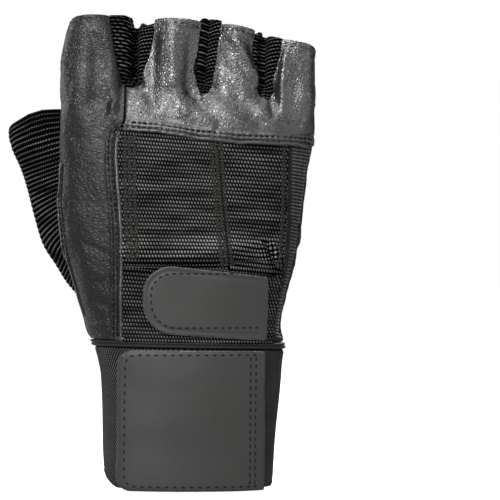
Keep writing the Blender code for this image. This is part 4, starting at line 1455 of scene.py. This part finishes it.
# the overlocked strip down the little finger side of the back
sideStrip = {
    "node": "side_strip", "slot": "knit", "cover": (binding,), "low": -1.8, "high": -0.4, "voxel": 0.6,
    "holes": (), "smoothing": 2, "follow": 0.4,
    "outline": [(35.6, 62.0, 0), (90, 61.2, 0), (90, 146.4, 0), (42.6, 147.0, 0), (41.6, 110.0, 0),
                (40.2, 90.5, 0), (36.2, 72.0, 0)],
    "rumples": [(5.0, 0.5, 103.0, (1, 1, 2))], "creases": [(4.0, 0.3, 105.0, (0.4, 0.4, 2))],
}

stripPiece = makePanel("overlockedStrip", {**backLeather, **sideStrip})
print("side strip made")


# stitches: rows along the hems, seams and edges, pressed into the finished pieces
stitching = {
    "pitch": 2.5, "length": 2.0, "radius": 0.4, "sink": -0.05, "channelPitch": 1.3, "channelRadius": 0.36,
    "overlockPitch": 1.45, "overlockRadius": 0.42,
}


def treeOfAll(pieces):
    bm = bmesh.new()
    for piece in pieces:
        bm.from_mesh(piece.data)
    tree = BVHTree.FromBMesh(bm)
    bm.free()
    return tree


# one piece of all the balls, made forty at a time, which is quicker than in one growing mesh
def finishStitches(bars, name, material):
    whole = bmesh.new()
    for first in range(0, len(bars), 40):
        few = bmesh.new()
        for place in bars[first:first + 40]:
            bmesh.ops.create_uvsphere(few, u_segments=6, v_segments=5, radius=1, matrix=place)
        mesh = bpy.data.meshes.new("few")
        few.to_mesh(mesh)
        few.free()
        whole.from_mesh(mesh)
        bpy.data.meshes.remove(mesh)
    piece = newPiece(whole, name)
    piece.data.materials.append(material)
    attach(piece, "root")
    return piece


# a row of stitches at a distance beside a line; what isn't said of it comes from the dictionary
def rowOn(bars, tree, points, side, look, distance=0.0, closed=False, **more):
    row = {**look, "lean": 0.0, **more}
    dots = laidLine(besideLine(points, distance) if distance else points, side, 0.5, tree, closed)
    stitchRow(bars, dots, tree, row["pitch"], row["length"], row["radius"], row["sink"], row["lean"], closed)


def makeBackStitches(look):
    bars = []
    tree = treeOf(knucklePiece)
    for distance in (1.5, 3.6):
        rowOn(bars, tree, edgeLines["knuckleHem"][1:], back, look, distance)
    tree = treeOf(indexPiece)
    for distance in (2.6, 4.4):
        rowOn(bars, tree, edgeLines["indexEdge"][:-1], back, look, distance)
    for distance in (-1.6, -0.4):
        rowOn(bars, tree, edgeLines["thumbSeam"][:5], back, look, distance, radius=0.3)
    return finishStitches(bars, "backStitches", thread)


def makeRimStitches(look):
    bars = []
    tree = treeOfAll([indexPiece, knucklePiece, fingerPiece])
    for finger in fingers:
        ring = evenSteps(rimRing(finger, 2.2)[:-1], look["pitch"] * mm, True)
        for here, after in zip(ring, ring[1:] + ring[:1]):
            found, way, face, far = tree.find_nearest((here + after) / 2)
            if far < 0.9 * mm:
                start, end = tree.find_nearest(here)[0], tree.find_nearest(after)[0]
                addBar(bars, start, end, way, look["radius"], 0.08, look["length"])
    return finishStitches(bars, "rimStitches", thread)


def makePalmStitches(look):
    bars = []
    tree = treeOf(fingerPiece)
    for distance in (1.5, 3.6):
        rowOn(bars, tree, edgeLines["palmSeam"], palm, look, distance)
    for piece, patch, inset in ((overlayPiece, overlayPatch, 1.8), (thumbPatchPiece, thumbPatch, 1.8),
                                (padPiece, padPanel, 2.6)):
        outline = drawnIn(roundedOutline(patch["outline"]), inset)
        rowOn(bars, treeOf(piece), outline, palm, look, closed=True)
    tree = treeOf(padPiece)
    for groove in padPanel["grooves"]:
        rowOn(bars, tree, groove, palm, look)
    return finishStitches(bars, "palmStitches", thread)


# the run of an outline round its left end, from its lower right to its upper right
def roundLeft(outline, limit, middle):
    low = [spot for spot in outline if spot.x < limit and spot.y < middle]
    high = [spot for spot in outline if spot.x < limit and spot.y > middle]
    return [Vector((limit + 1.5, low[-1].y))] + low[::-1] + high[::-1] + [Vector((limit + 1.5, high[0].y))]


def makeWrapStitches(look):
    bars = []
    outline = drawnIn(roundedOutline(closingTab["outline"]), 3.0)
    rowOn(bars, treeOf(tabPiece), roundLeft(outline, 29.0, 80.0), back, look, pitch=3.0, length=1.7,
          radius=0.36)
    tree = treeOf(wrapPiece)
    outline = drawnIn(roundedOutline(cuffWrap["outline"]), 2.0)
    rowOn(bars, tree, roundLeft(outline, 28.5, 28.0), back, look, pitch=3.5, length=1.7, radius=0.36)
    for across in (26.2, 28.4):
        rowOn(bars, tree, [(across, 1.2), (across + 0.6, 56.4)], back, look, pitch=3.0, length=1.8,
              radius=0.32)
    return finishStitches(bars, "wrapStitches", thread)


# the smooth rolled edge between leather and back knit, and the piping of the seam beside the thumb
rolls = {
    "edge": [(-28.1, 62.8), (-28.0, 84.0), (-28.0, 108.0), (-29.3, 126.0), (-30.3, 140.0), (-30.2, 146.2),
             (-29.2, 149.6), (-27.0, 151.6), (-24.0, 151.8), (-12.0, 150.8), (6.0, 147.8), (22.0, 146.2),
             (50.5, 145.5)],
    "pitch": 1.5, "length": 5.2, "radius": 0.85, "sink": 0.35, "pipingRadius": 0.5,
}


def makeRolls(look):
    bars = []
    tree = treeOfAll([indexPiece, knucklePiece])
    rowOn(bars, tree, look["edge"], back, look)
    rowOn(bars, treeOf(indexPiece), edgeLines["thumbSeam"], back, look, -2.2, radius=look["pipingRadius"],
          sink=0.1)
    return finishStitches(bars, "rolledEdges", rolledLeather)


# the woven channels of the back knit: pairs of chain stitches that run down the panel
channels = {
    "left": [(-25.0, 149.4), (-24.6, 120.0), (-23.4, 97.0)],
    "middle": [(12.6, 146.6), (14.6, 120.0), (17.4, 94.0)],
    "right": [(42.2, 144.4), (41.4, 112.0), (40.2, 95.0)],
}


def makeChannels(look):
    bars = []
    tree = treeOfAll(backPieces + [stripPiece])
    for key, offsets in (("left", (-1.6, 0.4, 2.4)), ("middle", (-2.6, -0.6, 1.4)), ("right", (-1.2, 1.0))):
        for offset in offsets:
            line = besideLine(channels[key], offset)
            for lean, shift in ((0.9, -0.35), (-0.9, 0.35)):
                rowOn(bars, tree, besideLine(line, shift), back, look, pitch=look["channelPitch"], length=1.7,
                      radius=look["channelRadius"], lean=lean, sink=-0.1)
    return finishStitches(bars, "channelStitches", channelThread)


# the overlock: threads over the edge of the side strip, between the channel and the side seam
def makeOverlock(look):
    bars = []
    tree = treeOf(stripPiece)
    heights = [spot[1] for spot in channels["right"]][::-1] + [200.0]
    places = [spot[0] for spot in channels["right"]][::-1] + [channels["right"][0][0]]
    for spot in sideLine(1, 64.0, 145.5, look["overlockPitch"]):
        height = spot.z / mm
        inner = min(float(np.interp(height, heights, places)) + 2.4, spot.x / mm - 2.4)
        width = spot.x / mm - inner
        path = [castOn(tree, inner + width * share, height - 0.8 * share, back)
                for share in (0.0, 0.3, 0.6, 0.84, 0.97)]
        for (here, way), (after, afterWay) in zip(path, path[1:]):
            addBar(bars, here, after, (way + afterWay).normalized(), look["overlockRadius"], -0.1)
    return finishStitches(bars, "overlock", overlockThread)


stitchPieces = [
    makeBackStitches(stitching), makeRimStitches(stitching), makePalmStitches(stitching),
    makeWrapStitches(stitching), makeChannels(stitching), makeOverlock(stitching), makeRolls(rolls),
]
print("stitches made:", sum(len(piece.data.polygons) for piece in stitchPieces), "faces")


# the pale studio round the glove: a white room seen directly, a dim one in what it reflects, and soft lights
studio = {
    "centre": (26.4, 100.8), "frameWidth": 214.5, "distance": 1.25, "floor": -2.6, "dim": 0.05,
    "floorGlow": (0.0, 1.0), "sensor": 36, "target": (0, 0, 0.105),
}
# the soft lights: place, width, height and power
lamps = {
    "key": ((-0.56, -1.0, 0.66), 0.26, 0.5, 34.0),
    "left": ((-0.1, -0.8, 0.95), 0.3, 0.3, 5.0),
    "front": ((0.8, -1.0, 0.35), 0.3, 0.5, 3.0),
    "top": ((0.0, -0.1, 1.1), 0.8, 0.3, 9.0),
    "side": ((1.0, -0.35, 0.2), 0.3, 0.8, 6.0),
    "rear": ((0.3, 1.1, 0.75), 0.5, 0.5, 15.0),
    "rearSide": ((-0.9, 0.7, 0.3), 0.3, 0.7, 4.5),
}


def aim(thing, target):
    way = Vector(target) - thing.location
    thing.rotation_mode = "QUATERNION"
    thing.rotation_quaternion = way.to_track_quat("-Z", "Y")


def softLight(name, target, place, width, height, power):
    light = bpy.data.lights.new(name, "AREA")
    light.shape = "RECTANGLE"
    light.size, light.size_y = width, height
    light.energy = power
    lamp = bpy.data.objects.new(name, light)
    bpy.context.scene.collection.objects.link(lamp)
    lamp.location = place
    aim(lamp, target)


def setStudio(look):
    scene = bpy.context.scene
    scene.view_settings.view_transform = "Standard"
    world = bpy.data.worlds.new("paleRoom")
    world.use_nodes = True
    tree = world.node_tree
    room = tree.nodes["Background"]
    room.inputs["Color"].default_value = (1, 1, 1, 1)
    rays = tree.nodes.new("ShaderNodeLightPath")
    level = tree.nodes.new("ShaderNodeMapRange")
    level.inputs["To Min"].default_value = look["dim"]
    tree.links.new(rays.outputs["Is Camera Ray"], level.inputs["Value"])
    tree.links.new(level.outputs["Result"], room.inputs["Strength"])
    scene.world = world
    bm = bmesh.new()
    bmesh.ops.create_grid(bm, x_segments=2, y_segments=2, size=6.0)
    bmesh.ops.translate(bm, verts=bm.verts, vec=(0, 0, look["floor"] * mm))
    floor = newPiece(bm, "floor")
    material, shader = startMaterial("paleFloor", (0.4, 0.4, 0.4), 0.9, 0.2)
    shader.inputs["Emission Color"].default_value = (1, 1, 1, 1)
    glow = addNode(material, "LightPath").outputs["Is Camera Ray"]
    wire(material, rangeOf(material, glow, 0.0, 1.0, *look["floorGlow"]), shader.inputs["Emission Strength"])
    floor.data.materials.append(material)
    for name, lamp in lamps.items():
        softLight(name, look["target"], *lamp)
    camera = bpy.data.cameras.new("camera")
    camera.sensor_width = look["sensor"]
    camera.lens = look["sensor"] * look["distance"] / (look["frameWidth"] * mm)
    camera.clip_end = 20
    eye = bpy.data.objects.new("camera", camera)
    scene.collection.objects.link(eye)
    across, height = look["centre"]
    eye.location = (across * mm, -look["distance"], height * mm)
    aim(eye, (across * mm, 0, height * mm))
    scene.camera = eye


setStudio(studio)
discard(form)
print("studio set")
